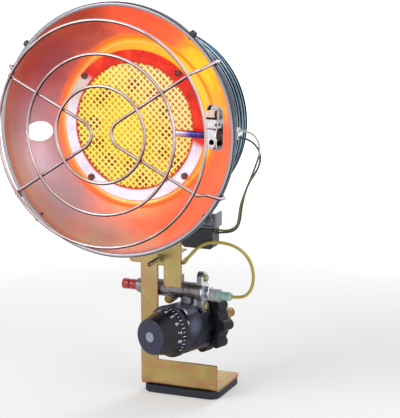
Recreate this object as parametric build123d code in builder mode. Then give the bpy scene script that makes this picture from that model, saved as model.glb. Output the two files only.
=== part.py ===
from build123d import *
import os
from math import cos, pi, radians, sin, sqrt, tan

# An infrared propane heater that is screwed into the valve of a gas cylinder and rests a rubber
# pad on the cylinder's dome. +X is on the right of someone who faces the dish, +Y runs to the
# back and +Z up. The origin is the middle of the fuel inlet's thread, on the inlet's axis.
# All lengths are in millimetres and all angles in degrees.

# ---------------------------------------------------------------- clearances
seat_gap = 0.1        # between pieces that are clamped, screwed or clipped together
running_gap = 0.05    # radial, a shaft in its hole
air_gap = 0.5         # between pieces that move past each other

# ---------------------------------------------------------------- datums
stem_x = -45.5        # middle of the bracket's post and of the dish
plate_y = -48.5       # front face of the bracket's plate
dish_z = 188.5        # height of the rim's centre above the inlet's axis
rim_forward = 70.0    # the rim's plane in front of the bracket's plate
dish_tilt = 3.0       # how far the dish looks up
gas_swing = 19.5      # how far the inlet and knob axis is turned from the dish's axis

# ---------------------------------------------------------------- dish and burner, by depth
# A depth is measured back from the rim's plane along the dish's axis.
rim_radius = 108.4
rim_flange_depth = 6.0
rim_lip = 1.9             # radius of the rolled front edge
reflector_sheet = 0.8
throat_radius = 66.0      # where the bowl of the reflector meets its flat inner flange
throat_depth = 42.0
throat_hole_radius = 59.0
bowl_bulge = 9.1          # how far the bowl's curve sinks behind a straight cone

mesh_radius = 58.0
mesh_sheet = 0.8
ring_outer_radius = 65.5
ring_inner_radius = 55.0
ring_sheet = 1.2
burner_screw_circle = 62.5
burner_screw_radius = 1.5
burner_screw_head_radius = 3.0
burner_screw_head = 1.9
burner_screw_angle = 50.0

housing_sheet = 1.2
housing_radius = 55.5
housing_back_depth = 64.0
baffle_depth = 52.0
baffle_sheet = 1.0

rim_screw_radius = 1.5
rim_screw_head_radius = 3.1
rim_screw_head = 3.4
rim_screw_length = 5.0
rim_screw_depth = 4.0
rim_screw_angles = (51, 141, 228, 321)

light_hole_centre = (-85.5, -9.5)
light_hole_size = (18.6, 17.0)
sensor_slot_centre = (77.0, 4.2)
sensor_slot_size = (19.0, 37.0)
slot_corner = 5.0

# ---------------------------------------------------------------- rear shield
shield_sheet = 0.8
shield_front_radius = 85.0
shield_front_depth = 67.0
shield_rib_steps = (1.4, 2.2, 3.0)
shield_rib_depth = 11.0
shield_back_depth = 140.0
shield_back_radius = 46.0
shield_notch = (-22.0, 39.0)     # across, from the stem's middle
shield_notch_depth = 48.0

# ---------------------------------------------------------------- guard
wire_radius = 1.4
guard_forward = 28.0
guard_ring_radii = (94.7, 67.0, 40.5)
guard_apex = -2.8                # where a bent wire's arms would meet, beyond the dish's axis
guard_arm_angle = 30.0
guard_turn = 4.0                 # the whole guard's turn about the dish's axis
guard_shoulder = 3.2             # how far an arm runs on past the outer ring before it turns
guard_knee = 5.0                 # where the leg passes, outside the outer ring
guard_bends = (1.6, 3.0, 5.0, 3.5)
guard_elbow = 12.0
hook_drop = 8.0                  # how far a hook reaches behind the rim's front edge

# ---------------------------------------------------------------- bracket
plate_sheet = 2.0
post_width = 16.4
plate_left = -19.0
plate_right = 31.0
plate_low = 57.0
plate_shoulder = 125.0
plate_top = 230.0
upper_plate_half = 19.0
strap_left = 14.0
strap_low = 37.3
strap_corner = 3.0
flange_right = 65.0
flange_top = -31.2
foot_z = -56.3
foot_depth = 58.0
foot_corner = 6.0
bend_radius = 3.0

pad_thickness = 7.0
pad_corner = 9.0

bolt_x = 10.4
bolt_z = 62.5
bolt_radius = 2.0
bolt_reach = 24.0            # how far the bolt's tip stands in front of the plate
bolt_head = 2.8
nut_height = 3.2
hex_across = 7.0

# ---------------------------------------------------------------- mixing tube and jet
tube_x = 17.5                # from the stem's middle
tube_back = 13.0             # the tube's axis behind the plate's front face
tube_radius = 6.5
tube_wall = 0.9
tube_low = 49.0
tube_bend_z = 128.0
tube_elbow_depth = 94.0
tube_elbow_radius = 13.0
shelf_sheet = 1.2
shelf_z = 66.6
shelf_foot = (4.0, 27.0)
jet_hex_across = 10.0
jet_hex_height = 4.5
jet_nozzle_radius = 2.4
jet_nozzle_top = 57.0
jet_thread_radius = 2.6
jet_thread_length = 4.0
jet_hole_radius = 0.5
jet_seat = 41.7              # height of the face that the jet is screwed down on
air_slot = (6.0, 3.2)

# ---------------------------------------------------------------- standoffs
standoff_radius = 4.0
standoff_bore = 2.05
standoff_spread = 13.0       # across, each side of the dish's axis
standoff_rise = 30.0         # above the dish's axis
frame_screw_radius = 2.0
frame_screw_head_radius = 3.8
frame_screw_head = 2.4
frame_screw_length = 6.5
frame_screw_seat = 0.3       # the lower heads are set off the upright plate, which they meet aslant

# ---------------------------------------------------------------- safety valve, along X
valve_back = 11.0            # the valve's axis behind the plate's front face
valve_z = 33.0
valve_radius = 7.5
valve_left = -12.0
valve_right = 48.0
valve_flange = 4.5
magnet_bore = 5.4
button_bore = 5.3
button_bore_end = -2.0
rod_bore = 1.8
ear_screw_radius = 1.5
ear_screw_head_radius = 2.8
ear_screw_head = 2.0
ear_screw_places = ((0.0, 20.5), (26.4, 44.0))
ear_sheet = 4.9
ear_margin = 4.6
plate_screw_spread = 26.0
flange_width = 11.0
flange_hub_radius = 9.0
magnet_plate_sheet = 1.6
plate_screw_radius = 1.5
plate_screw_head_radius = 3.3
plate_screw_head = 2.2
magnet_hex_across = 13.0
magnet_hex = 5.2
magnet_length = 16.0
magnet_stem_radius = 1.3
magnet_stem_length = 5.2
magnet_stub_radius = 4.7
magnet_stub_length = 6.0
magnet_chamber_left = 30.0
sleeve_radius = 5.6
sleeve_length = 9.0
sleeve_wall = 0.8
boot_radius = 3.9
boot_length = 14.0
boot_taper = 2.0
boot_drop = 1.8              # the sleeve, boot and lead lie this far under the valve's axis
plug_place = (19.3, 26.5)      # across and up
plug_boss_radius = 4.4
plug_boss_front = -0.5         # in front of the plate's front face when negative
plug_head_radius = 3.4
plug_head = 2.2
plug_thread_radius = 2.2
plug_thread_length = 5.0
outlet_boss_radius = 5.5
valve_passage_radius = 1.5

button_radius = 4.8
button_waist_radius = 3.7
button_outer_end = -30.5
button_inner_end = -9.0
button_waist = (-24.0, -21.5)
push_rod_radius = 1.5
push_rod_end = 22.0
collar_radius = 6.3
collar_length = 3.2
button_spring_wire = 0.5
button_spring_radius = 3.6
button_spring_pitch = 2.6

# ---------------------------------------------------------------- regulator, along the gas axis
# A reach is measured from the origin along the gas axis, towards the knob.
inlet_radius = 11.24
inlet_length = 14.0
nut_collar_radius = 13.5
nut_collar = 2.0
nut_hex_across = 20.0
nut_hex_end = 22.0
nipple_radius = 6.0
nipple_bore = 2.5
nipple_shoulder_radius = 8.0
nipple_shoulder = 3.7
nose_length = 8.0
nose_tip_radius = 4.2
nose_seal_length = 2.0
wheel_radius = 24.0
wheel_lobe_radius = 5.2
wheel_lobes = 8
wheel_length = 13.0
wheel_lobe_circle = 24.0
wheel_edge = 1.5
wheel_recess = (13.0, 19.5)
wheel_recess_depth = 3.5

body_width = 30.0
body_height = 43.0
body_back = 24.0
body_front = 59.0
body_corner = 9.0
body_edge = 1.5
body_neck_radius = 17.0
body_neck_length = 3.0
chamber_radius = 12.0
chamber_back = 45.0
inlet_bore_depth = 8.0
gas_passage_radius = 1.5
outlet_passage_rise = 8.0
outlet_reach = 39.8
outlet_radius = 6.0
outlet_joint_z = 22.4

bonnet_flange_radius = 16.0
bonnet_flange = 1.6
bonnet_radius = 13.0
bonnet_length = 17.0
bonnet_bore = 8.6
bonnet_cap = 4.0
diaphragm_sheet = 1.0
spring_seat_radius = 8.3
spring_seat_sheet = 1.5
spring_seat_reach = 70.3
spring_seat_travel = 3.0
main_spring_wire = 0.9
main_spring_radius = 6.0
main_spring_pitch = 2.9
stem_radius = 3.0

skirt_reach = 61.3
skirt_radius = 23.5
skirt_length = 3.2
knob_length = 26.8
knob_shoulder_radius = 21.6
knob_front_radius = 16.0
knob_edge = 1.3
knob_wall = 2.4
knob_hub_radius = 6.5
knob_hub_length = 7.0
cap_radius = 4.6
cap_height = 1.0

# ---------------------------------------------------------------- tip-over switch
switch_left = 32.0           # from the stem's middle
switch_right = 61.4
switch_low = 75.5
switch_high = 94.9
switch_depth = 14.5
switch_wall = 1.5
switch_corner = 3.5
cover_sheet = 1.4
arm_sheet = 1.2
arm_left = 18.0
arm_right = 64.6
arm_low = 95.2
arm_high = 108.0
arm_return = 13.0
rivet_radius = 1.6
rivet_head_radius = 2.6
rivet_head = 1.3
rivet_tail = 1.0
rivet_places = ((24.5, 101.6), (59.5, 102.2))
hem_across = (43.0, 62.0)
hem_forward = 1.8
box_ear = (54.5, 63.0, 106.4)     # its sides and its top
pendulum_pin_radius = 1.0
pendulum_pivot = (46.7, 90.6)
pendulum_eye_radius = 2.2
pendulum_length = 8.4
pendulum_bob_radius = 3.8
pendulum_arm = 2.4
pendulum_width = 7.0

# ---------------------------------------------------------------- flame sensor and its leads
sensor_depth = 36.0
sensor_radius = 3.2
sensor_tip_x = 40.0
sensor_rise = -2.9           # above the dish's axis, measured square to it
sensor_elbow_radius = 4.0
insulator_depths = (56.0, 66.6)
insulator_x = (shield_front_radius - 5.0, shield_front_radius + 3.0)
insulator_rise = (-8.1, 1.5)
sensor_elbow_x = sum(insulator_x) / 2
tab_sheet = 1.2
tab_depth = 31.0
tab_x = (68.0, 80.0)
tab_rise = (-13.6, 3.2)
tab_hole = (75.2, -8.2)
tab_hole_radius = 1.7
upper_tab_depth = 34.0
upper_tab_rise = (4.2, 11.0)
tab_foot_depth = 53.0
ceramic_x = (69.2, 78.7)
ceramic_height = 7.6
ceramic_depths = (31.4, 40.4)
clip_sheet = 1.0
clip_height = 2.8
clip_rise = -3.6
clip_depths = (58.0, 68.4, 77.0)

lead_radius = 1.45           # the magnet's lead
sensor_lead_radius = 0.9

magnet_end = valve_right + seat_gap + magnet_plate_sheet + seat_gap + magnet_hex
boot_end = magnet_end + magnet_stub_length + seat_gap + boot_length

# The leads' routes: across from the stem's middle, back from the plate's front face, up from the
# inlet's axis.
magnet_lead_route = [
    (boot_end + seat_gap, valve_back, valve_z - boot_drop),
    (83.2, 11.0, 31.2),
    (90.6, 11.0, 35.4),
    (95.0, 10.4, 44.0),
    (96.2, 9.0, 55.4),
    (93.6, 6.4, 67.6),
    (86.6, 2.2, 77.6),
    (77.0, -2.4, 82.8),
    (66.0, -5.4, 84.0),
    (55.6, -6.6, 81.8),
    (46.6, -6.8, 75.0),
    (39.6, -4.6, 67.0),
    (33.8, 1.8, 60.4),
    (29.6, 10.6, 57.4),
    (28.8, 21.6, 57.8),
    (31.4, 31.6, 62.4),
    (35.6, 36.0, 71.4),
    (39.2, 32.6, 80.4),
    (41.0, 24.0, 84.6),
    (41.0, switch_depth + seat_gap, 84.6),
]
sensor_lead_front_route = [
    (insulator_x[1] + seat_gap, -7.6, 184.6),
    (95.0, -7.8, 184.8),
    (102.8, -8.0, 181.6),
    (107.4, -7.8, 173.4),
    (106.4, -6.6, 163.6),
    (101.4, -4.6, 151.6),
    (96.2, -2.2, 140.0),
    (90.6, 0.6, 128.6),
    (85.8, 3.2, 117.6),
    (83.4, 5.6, 106.2),
    (81.4, 7.2, 97.4),
    (74.6, 8.2, 92.4),
    (67.6, 8.6, 91.2),
    (switch_right + seat_gap, 8.6, 91.4),
]
sensor_lead_back_route = [
    (insulator_x[1] + seat_gap, -7.6, 178.6),
    (93.8, -7.4, 178.2),
    (100.4, -4.6, 174.4),
    (104.8, -0.4, 166.2),
    (104.0, 3.0, 156.2),
    (98.8, 5.2, 146.0),
    (91.4, 7.4, 135.6),
    (86.6, 9.4, 123.6),
    (83.6, 10.8, 111.0),
    (82.2, 11.4, 99.6),
    (78.2, 11.4, 92.0),
    (69.8, 10.6, 89.0),
    (switch_right + seat_gap, 10.4, 88.6),
]

# ================================================================ shared frames
tilt = radians(dish_tilt)
swing = radians(gas_swing)
rim_centre = Vector(stem_x, plate_y - rim_forward, dish_z)
dish_forward = Vector(0, -cos(tilt), sin(tilt))
dish_face = Plane(origin=rim_centre, x_dir=(1, 0, 0), z_dir=dish_forward)
dish_section = Plane(origin=rim_centre, x_dir=(1, 0, 0), z_dir=(0, -sin(tilt), -cos(tilt)))
dish_spin = Axis(rim_centre, dish_forward)

gas_forward = Vector(-sin(swing), -cos(swing), 0)
gas_across = Vector(cos(swing), -sin(swing), 0)
gas_section = Plane(origin=(0, 0, 0), x_dir=gas_across, z_dir=(0, 0, -1))
gas_spin = Axis((0, 0, 0), gas_forward)

plate_front = Plane(origin=(stem_x, plate_y, 0), x_dir=(1, 0, 0), z_dir=(0, -1, 0))
plate_back_y = plate_y + plate_sheet
valve_y = plate_y + valve_back
valve_section = Plane(origin=(stem_x, valve_y, valve_z), x_dir=(1, 0, 0), z_dir=(0, -1, 0))
valve_spin = Axis((0, valve_y, valve_z), (1, 0, 0))


def at_depth(depth):
    """The plane square to the dish's axis at a depth behind the rim."""
    return dish_face.offset(-depth)


def dish_point(across, rise, depth):
    """A point given from the rim's centre, square to and along the dish's axis."""
    return at_depth(depth).from_local_coords(Vector(across, rise, 0))


def rim_screw_plane(angle, radius):
    """The plane square to a rim screw, at a distance from the dish's axis."""
    outward = Vector(1, 0, 0).rotate(dish_spin, angle)
    middle = dish_point(0, 0, rim_screw_depth)
    return Plane(origin=middle + outward * radius, x_dir=dish_forward, z_dir=outward)


def gas_plane(reach):
    """The plane square to the gas axis, looking towards the knob, at a reach from the origin."""
    return Plane(origin=gas_forward * reach, x_dir=gas_across, z_dir=gas_forward)


def valve_plane(across):
    """The plane square to the safety valve's axis; its local x runs back and its local y up."""
    return Plane(origin=(stem_x + across, valve_y, valve_z), x_dir=(0, 1, 0), z_dir=(1, 0, 0))


def level_plane(across, back, height):
    """A level plane whose origin is given from the stem's middle and the plate's front face."""
    return Plane(origin=(stem_x + across, plate_y + back, height))


def outlet_plane(height):
    """A level plane on the axis where the regulator's outlet meets the safety valve's inlet."""
    return Plane(origin=gas_forward * outlet_reach + Vector(0, 0, height))


def patch(x_low, x_high, y_low, y_high, mode=Mode.ADD):
    """A rectangle of the current sketch, given by its sides."""
    with Locations(((x_low + x_high) / 2, (y_low + y_high) / 2)):
        Rectangle(x_high - x_low, y_high - y_low, mode=mode)


def rounded_patch(x_low, x_high, y_low, y_high, corner, mode=Mode.ADD):
    """A rectangle of the current sketch with round corners, given by its sides."""
    with Locations(((x_low + x_high) / 2, (y_low + y_high) / 2)):
        RectangleRounded(x_high - x_low, y_high - y_low, corner, mode=mode)


def save(builder, name):
    """Label a finished piece and write it to its own file."""
    builder.part.label = name
    export_step(builder.part, f"parts/{name}.step")


os.makedirs("parts", exist_ok=True)

# ================================================================ reflector
lip_inner = rim_radius - 2 * rim_lip
bowl_slope = Vector(lip_inner - throat_radius, throat_depth - rim_lip).normalized()
bowl_inward = Vector(bowl_slope.Y, -bowl_slope.X) * reflector_sheet
bowl_middle = Vector(
    (throat_radius + lip_inner) / 2 + bowl_bulge / 2,
    -(throat_depth + rim_lip) / 2 - bowl_bulge / 2,
)
lip_bore = rim_lip - reflector_sheet
with BuildPart() as reflector:
    with BuildSketch(dish_section):
        with BuildLine():
            front_lip = (rim_radius - rim_lip, -rim_lip)
            throat = Line((throat_hole_radius, -throat_depth), (throat_radius, -throat_depth))
            bowl = ThreePointArc(throat @ 1, bowl_middle, (lip_inner, -rim_lip))
            lip = ThreePointArc(bowl @ 1, (front_lip[0], 0), (rim_radius, -rim_lip))
            flange_back = Vector(rim_radius - reflector_sheet, -rim_lip)
            rim_end = Polyline(
                lip @ 1,
                (rim_radius, -rim_flange_depth),
                (flange_back.X, -rim_flange_depth),
                flange_back,
            )
            lip_back = ThreePointArc(
                rim_end @ 1, (front_lip[0], -reflector_sheet), (front_lip[0] - lip_bore, -rim_lip)
            )
            bowl_end = Line(lip_back @ 1, bowl @ 1 + bowl_inward)
            bowl_back = ThreePointArc(
                bowl_end @ 1,
                bowl_middle + bowl_inward,
                (throat_radius + reflector_sheet / 3, -throat_depth - reflector_sheet),
            )
            Polyline(bowl_back @ 1, (throat_hole_radius, -throat_depth - reflector_sheet), throat @ 0)
        make_face()
    revolve(axis=dish_spin)
    with BuildSketch(dish_face):
        with Locations(light_hole_centre):
            Ellipse(light_hole_size[0] / 2, light_hole_size[1] / 2)
        with Locations(sensor_slot_centre):
            RectangleRounded(*sensor_slot_size, slot_corner)
    extrude(amount=-throat_depth - rim_flange_depth, mode=Mode.SUBTRACT)
    with BuildSketch(dish_face):
        with PolarLocations(burner_screw_circle, 4, start_angle=burner_screw_angle):
            Circle(burner_screw_radius + seat_gap)
    extrude(amount=-throat_depth - 2 * reflector_sheet, mode=Mode.SUBTRACT)
    for angle in rim_screw_angles:
        with BuildSketch(rim_screw_plane(angle, rim_radius - rim_screw_length)):
            Circle(rim_screw_radius + seat_gap)
        extrude(amount=2 * rim_screw_length, mode=Mode.SUBTRACT)
save(reflector, "reflector")

# Small screws that stand out of the rim's rolled flange
with BuildPart() as rim_screws:
    for angle in rim_screw_angles:
        seat = rim_screw_plane(angle, rim_radius + seat_gap)
        with BuildSketch(seat):
            Circle(rim_screw_head_radius)
        head = extrude(amount=rim_screw_head)
        fillet(head.faces().sort_by(Axis(rim_centre, seat.z_dir))[-1].edges(), rim_screw_head * 0.6)
        with BuildSketch(seat):
            Circle(rim_screw_radius)
        extrude(amount=-rim_screw_length)
save(rim_screws, "rim_screws")

# ================================================================ rear shield
shield_outside = []
step_depth = shield_front_depth
step_radius = shield_front_radius
for step in shield_rib_steps:
    shield_outside.append((step_radius, -step_depth))
    step_depth = step_depth + shield_rib_depth
    shield_outside.append((step_radius, -step_depth))
    step_radius = step_radius - step
shield_outside.append((step_radius, -step_depth))
shield_inside = [(radius - shield_sheet, depth + shield_sheet) for radius, depth in shield_outside]
shield_inside[0] = (shield_front_radius - shield_sheet, -shield_front_depth)
dome_middle = (
    (step_radius + shield_back_radius + shield_rib_depth) / 2,
    -(step_depth + shield_back_depth + shield_rib_depth) / 2,
)
dome_sheet = shield_sheet / sqrt(2)
with BuildPart() as rear_shield:
    with BuildSketch(dish_section):
        with BuildLine():
            outside = Polyline(*shield_outside)
            dome = ThreePointArc(outside @ 1, dome_middle, (shield_back_radius, -shield_back_depth))
            back_face = Polyline(
                dome @ 1,
                (0, -shield_back_depth),
                (0, -shield_back_depth + shield_sheet),
                (shield_back_radius - shield_sheet / 2, -shield_back_depth + shield_sheet),
            )
            dome_back = ThreePointArc(
                back_face @ 1,
                (dome_middle[0] - dome_sheet, dome_middle[1] + dome_sheet),
                shield_inside[-1],
            )
            Polyline(*shield_inside[::-1], outside @ 0)
        make_face()
    revolve(axis=dish_spin)
    with BuildSketch(at_depth(shield_front_depth - air_gap)):
        patch(*shield_notch, -shield_front_radius - shield_sheet, -standoff_rise)
    extrude(amount=-shield_notch_depth, mode=Mode.SUBTRACT)
    with BuildSketch(at_depth(shield_back_depth + air_gap)):
        with Locations((-standoff_spread, standoff_rise), (standoff_spread, standoff_rise)):
            Circle(frame_screw_radius + seat_gap)
    extrude(amount=shield_rib_depth, mode=Mode.SUBTRACT)
save(rear_shield, "rear_shield")

# ================================================================ burner
# From the front: retaining ring, wire mesh in the reflector's throat, reflector flange, housing.
ring_depth = throat_depth - seat_gap
mesh_depth = ring_depth + seat_gap
housing_depth = throat_depth + reflector_sheet + seat_gap
housing_end_depth = housing_back_depth + housing_sheet
housing_outer_radius = housing_radius + housing_sheet

with BuildPart() as burner_housing:
    with BuildSketch(dish_section):
        with BuildLine():
            Polyline(
                (throat_radius, -housing_depth),
                (housing_radius, -housing_depth),
                (housing_radius, -housing_back_depth),
                (tube_radius + seat_gap, -housing_back_depth),
                (tube_radius + seat_gap, -housing_end_depth),
                (housing_outer_radius, -housing_end_depth),
                (housing_outer_radius, -housing_depth - housing_sheet),
                (throat_radius, -housing_depth - housing_sheet),
                close=True,
            )
        make_face()
    revolve(axis=dish_spin)
    with BuildSketch(at_depth(housing_depth)):
        with PolarLocations(burner_screw_circle, 4, start_angle=burner_screw_angle):
            Circle(burner_screw_radius + running_gap)
    extrude(amount=-2 * housing_sheet, mode=Mode.SUBTRACT)
save(burner_housing, "burner_housing")

with BuildPart() as inner_baffle:
    with BuildSketch(at_depth(baffle_depth)):
        Circle(housing_radius - seat_gap)
        with PolarLocations(housing_radius * 0.75, 10):
            Circle(3.0, mode=Mode.SUBTRACT)
        with PolarLocations(housing_radius * 0.4, 6):
            Circle(3.0, mode=Mode.SUBTRACT)
    extrude(amount=-baffle_sheet)
save(inner_baffle, "inner_baffle")

with BuildPart() as outer_mesh:
    with BuildSketch(at_depth(mesh_depth)):
        Circle(mesh_radius)
    extrude(amount=-mesh_sheet)
save(outer_mesh, "outer_mesh")

with BuildPart() as retaining_ring:
    with BuildSketch(at_depth(ring_depth)):
        Circle(ring_outer_radius)
        Circle(ring_inner_radius, mode=Mode.SUBTRACT)
        with PolarLocations(burner_screw_circle, 4, start_angle=burner_screw_angle):
            Circle(burner_screw_radius + seat_gap, mode=Mode.SUBTRACT)
    extrude(amount=ring_sheet)
    rim_edges = retaining_ring.faces().sort_by(dish_spin)[-1].edges().sort_by(SortBy.LENGTH)[-2:]
    fillet(rim_edges, ring_sheet * 0.4)
save(retaining_ring, "retaining_ring")

with BuildPart() as burner_screws:
    head_depth = ring_depth - ring_sheet - seat_gap
    for turn in range(4):
        along = radians(burner_screw_angle + 90 * turn)
        centre = (burner_screw_circle * cos(along), burner_screw_circle * sin(along))
        with BuildSketch(at_depth(head_depth)):
            with Locations(centre):
                Circle(burner_screw_head_radius)
        head = extrude(amount=burner_screw_head)
        fillet(head.faces().sort_by(dish_spin)[-1].edges(), burner_screw_head * 0.6)
        with BuildSketch(at_depth(head_depth)):
            with Locations(centre):
                Circle(burner_screw_radius)
        extrude(amount=-(housing_depth + housing_sheet - head_depth))
save(burner_screws, "burner_screws")

# ================================================================ guard
ring_names = ("guard_ring_outer", "guard_ring_middle", "guard_ring_inner")
for ring_name, ring_radius in zip(ring_names, guard_ring_radii):
    with BuildPart() as guard_ring:
        with BuildSketch(dish_section):
            with Locations((ring_radius, guard_forward)):
                Circle(wire_radius)
        revolve(axis=dish_spin)
    save(guard_ring, ring_name)

# Each bent wire crosses behind the rings, turns back at the outer ring and hooks over the rim.
arm_forward = guard_forward - 2 * wire_radius - seat_gap
rim_clear = rim_radius + wire_radius + 2 * seat_gap
arm_angle = radians(guard_arm_angle)
outer_ring = guard_ring_radii[0]
arm_length = sqrt(outer_ring**2 - (guard_apex * sin(arm_angle)) ** 2) - guard_apex * cos(arm_angle)
shoulder = (guard_apex + arm_length * cos(arm_angle), arm_length * sin(arm_angle))
outward_unit = (shoulder[0] / outer_ring, shoulder[1] / outer_ring)
guard_across = Vector(1, 0, 0).rotate(dish_spin, guard_turn)
guard_face = Plane(origin=rim_centre, x_dir=guard_across, z_dir=dish_forward)


def guard_point(side, half, radius, forward):
    """A point of a guard wire on the ray from the dish's axis through the arm's shoulder."""
    along = Vector(side * radius * outward_unit[0], half * radius * outward_unit[1], forward)
    return guard_face.from_local_coords(along)


for wire_name, side in (("guard_left_wire", -1), ("guard_right_wire", 1)):
    stations = []
    for half in (1, -1):
        leg = [
            guard_point(side, half, rim_radius - rim_lip, -hook_drop),
            guard_point(side, half, rim_clear, -hook_drop),
            guard_point(side, half, rim_clear, wire_radius + seat_gap),
            guard_point(side, half, outer_ring + guard_knee, arm_forward / 2),
            guard_point(side, half, outer_ring + guard_shoulder, arm_forward),
        ]
        stations = stations + (leg if half == 1 else leg[::-1])
        if half == 1:
            stations.append(guard_face.from_local_coords(Vector(side * guard_apex, 0, arm_forward)))
    with BuildPart() as guard_wire:
        with BuildLine() as wire_path:
            FilletPolyline(*stations, radius=[*guard_bends, guard_elbow, *guard_bends[::-1]])
        with BuildSketch(wire_path.line ^ 0):
            Circle(wire_radius)
        sweep(path=wire_path.line)
    wire_length = sum(edge.length for edge in wire_path.edges())
    tube_volume = pi * wire_radius**2 * wire_length
    print(wire_name, "volume over section times length", guard_wire.part.volume / tube_volume)
    save(guard_wire, wire_name)

# ================================================================ bracket
standoff_spots = [(side * standoff_spread, half * standoff_rise) for half in (1, -1) for side in (-1, 1)]
upper_spots = standoff_spots[:2]
lower_spots = standoff_spots[2:]
with BuildPart() as support_bracket:
    with BuildSketch(plate_front):
        patch(-post_width / 2, post_width / 2, foot_z + bend_radius, plate_low + strap_corner)
        rounded_patch(plate_left, plate_right, plate_low, plate_shoulder, strap_corner)
        rounded_patch(strap_left, plate_right, strap_low, plate_low + 4 * strap_corner, strap_corner)
        rounded_patch(
            -upper_plate_half, upper_plate_half, plate_shoulder - 4 * strap_corner, plate_top, strap_corner
        )
        with Locations((bolt_x, bolt_z)):
            Circle(bolt_radius + seat_gap, mode=Mode.SUBTRACT)
        with Locations(rivet_places[0]):
            Circle(rivet_radius + running_gap, mode=Mode.SUBTRACT)
        with Locations(*ear_screw_places):
            Circle(ear_screw_radius + running_gap, mode=Mode.SUBTRACT)
    extrude(amount=-plate_sheet)
    with BuildSketch(Plane.YZ.offset(stem_x - post_width / 2)):
        with BuildLine():
            FilletPolyline(
                (plate_y, flange_top),
                (plate_y, foot_z),
                (plate_y + foot_depth, foot_z),
                radius=bend_radius + plate_sheet,
            )
            offset(amount=plate_sheet, side=Side.LEFT)
        make_face()
    extrude(amount=post_width / 2 + flange_right)
    foot_ends = support_bracket.edges().filter_by(Axis.Z).group_by(Axis.Y)[-1]
    fillet(foot_ends, foot_corner)
    with BuildSketch(at_depth(rim_forward - foot_corner)):
        Circle(tube_radius + air_gap)
        with Locations(*standoff_spots):
            Circle(frame_screw_radius + seat_gap)
    extrude(amount=-foot_corner - 3 * plate_sheet, mode=Mode.SUBTRACT)
save(support_bracket, "support_bracket")

with BuildPart() as foot_pad:
    pad_top = foot_z - seat_gap
    with BuildSketch(Plane((stem_x, plate_y, pad_top))):
        rounded_patch(1 - post_width / 2, flange_right, 0, foot_depth, pad_corner)
    extrude(amount=-pad_thickness)
    fillet(foot_pad.faces().sort_by(Axis.Z)[0].edges(), 1.5)
save(foot_pad, "foot_pad")

with BuildPart() as clamp_bolt:
    head_back = plate_back_y + seat_gap + shelf_sheet + seat_gap
    bolt_face = Plane(
        origin=(stem_x + bolt_x, head_back, bolt_z), x_dir=(1, 0, 0), z_dir=(0, -1, 0)
    )
    with BuildSketch(bolt_face):
        RegularPolygon(hex_across / 2, 6, major_radius=False)
    extrude(amount=-bolt_head)
    with BuildSketch(bolt_face):
        Circle(bolt_radius)
    extrude(amount=head_back - plate_y + bolt_reach)
    chamfer(clamp_bolt.faces().sort_by(Axis.Y)[0].edges(), 0.5)
save(clamp_bolt, "clamp_bolt")

with BuildPart() as clamp_nut:
    nut_face = Plane(
        origin=(stem_x + bolt_x, plate_y - seat_gap, bolt_z), x_dir=(1, 0, 0), z_dir=(0, -1, 0)
    )
    with BuildSketch(nut_face):
        RegularPolygon(hex_across / 2, 6, major_radius=False)
        Circle(bolt_radius + running_gap, mode=Mode.SUBTRACT)
    extrude(amount=nut_height)
save(clamp_nut, "clamp_nut")

# ================================================================ mixing tube and jet
with BuildPart() as tube_shelf:
    shelf_back = tube_back + tube_radius + 3.0
    with BuildSketch(Plane.YZ.offset(stem_x + shelf_foot[0])):
        with BuildLine():
            FilletPolyline(
                (plate_back_y + seat_gap, bolt_z - hex_across),
                (plate_back_y + seat_gap, shelf_z + shelf_sheet),
                (plate_y + shelf_back, shelf_z + shelf_sheet),
                radius=2.0,
            )
            offset(amount=shelf_sheet, side=Side.RIGHT)
        make_face()
    extrude(amount=shelf_foot[1] - shelf_foot[0])
    with BuildSketch(level_plane(tube_x, tube_back, shelf_z - shelf_sheet)):
        Circle(tube_radius + seat_gap)
    extrude(amount=4 * shelf_sheet, mode=Mode.SUBTRACT)
    with BuildSketch(plate_front.offset(-plate_sheet)):
        with Locations((bolt_x, bolt_z)):
            Circle(bolt_radius + seat_gap)
        patch(bolt_x + 2 * bolt_radius, shelf_foot[1] + 1, bolt_z - 2 * hex_across, shelf_z - 3 * shelf_sheet)
    extrude(amount=-3 * shelf_sheet, mode=Mode.SUBTRACT)
save(tube_shelf, "tube_shelf")

with BuildPart() as mixing_tube:
    with BuildLine() as tube_path:
        FilletPolyline(
            (stem_x + tube_x, plate_y + tube_back, tube_low),
            (stem_x + tube_x, plate_y + tube_back, tube_bend_z),
            dish_point(0, 0, tube_elbow_depth),
            dish_point(0, 0, housing_back_depth - 2 * housing_sheet),
            radius=[3 * tube_elbow_radius, tube_elbow_radius],
        )
    with BuildSketch(tube_path.line ^ 0):
        Circle(tube_radius)
        Circle(tube_radius - tube_wall, mode=Mode.SUBTRACT)
    sweep(path=tube_path.line)
    air_holes = Plane(
        origin=(stem_x + tube_x, plate_y + tube_back, jet_nozzle_top + 1), x_dir=(0, 0, 1), z_dir=(0, 1, 0)
    )
    with BuildSketch(air_holes):
        SlotOverall(*air_slot)
    extrude(amount=tube_radius + 1, both=True, mode=Mode.SUBTRACT)
save(mixing_tube, "mixing_tube")

with BuildPart() as gas_jet:
    with BuildSketch(level_plane(tube_x, tube_back, jet_seat + seat_gap)):
        RegularPolygon(jet_hex_across / 2, 6, major_radius=False)
    extrude(amount=jet_hex_height)
    with BuildSketch(level_plane(tube_x, tube_back, jet_seat - jet_thread_length)):
        Circle(jet_thread_radius)
    extrude(amount=jet_thread_length + seat_gap)
    with BuildSketch(level_plane(tube_x, tube_back, jet_seat)):
        Circle(jet_nozzle_radius)
    extrude(amount=jet_nozzle_top - jet_seat)
    chamfer(gas_jet.faces().sort_by(Axis.Z)[-1].edges(), 0.8)
    with BuildSketch(level_plane(tube_x, tube_back, jet_seat - jet_thread_length)):
        Circle(jet_hole_radius)
    extrude(amount=jet_nozzle_top, mode=Mode.SUBTRACT)
save(gas_jet, "gas_jet")

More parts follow.
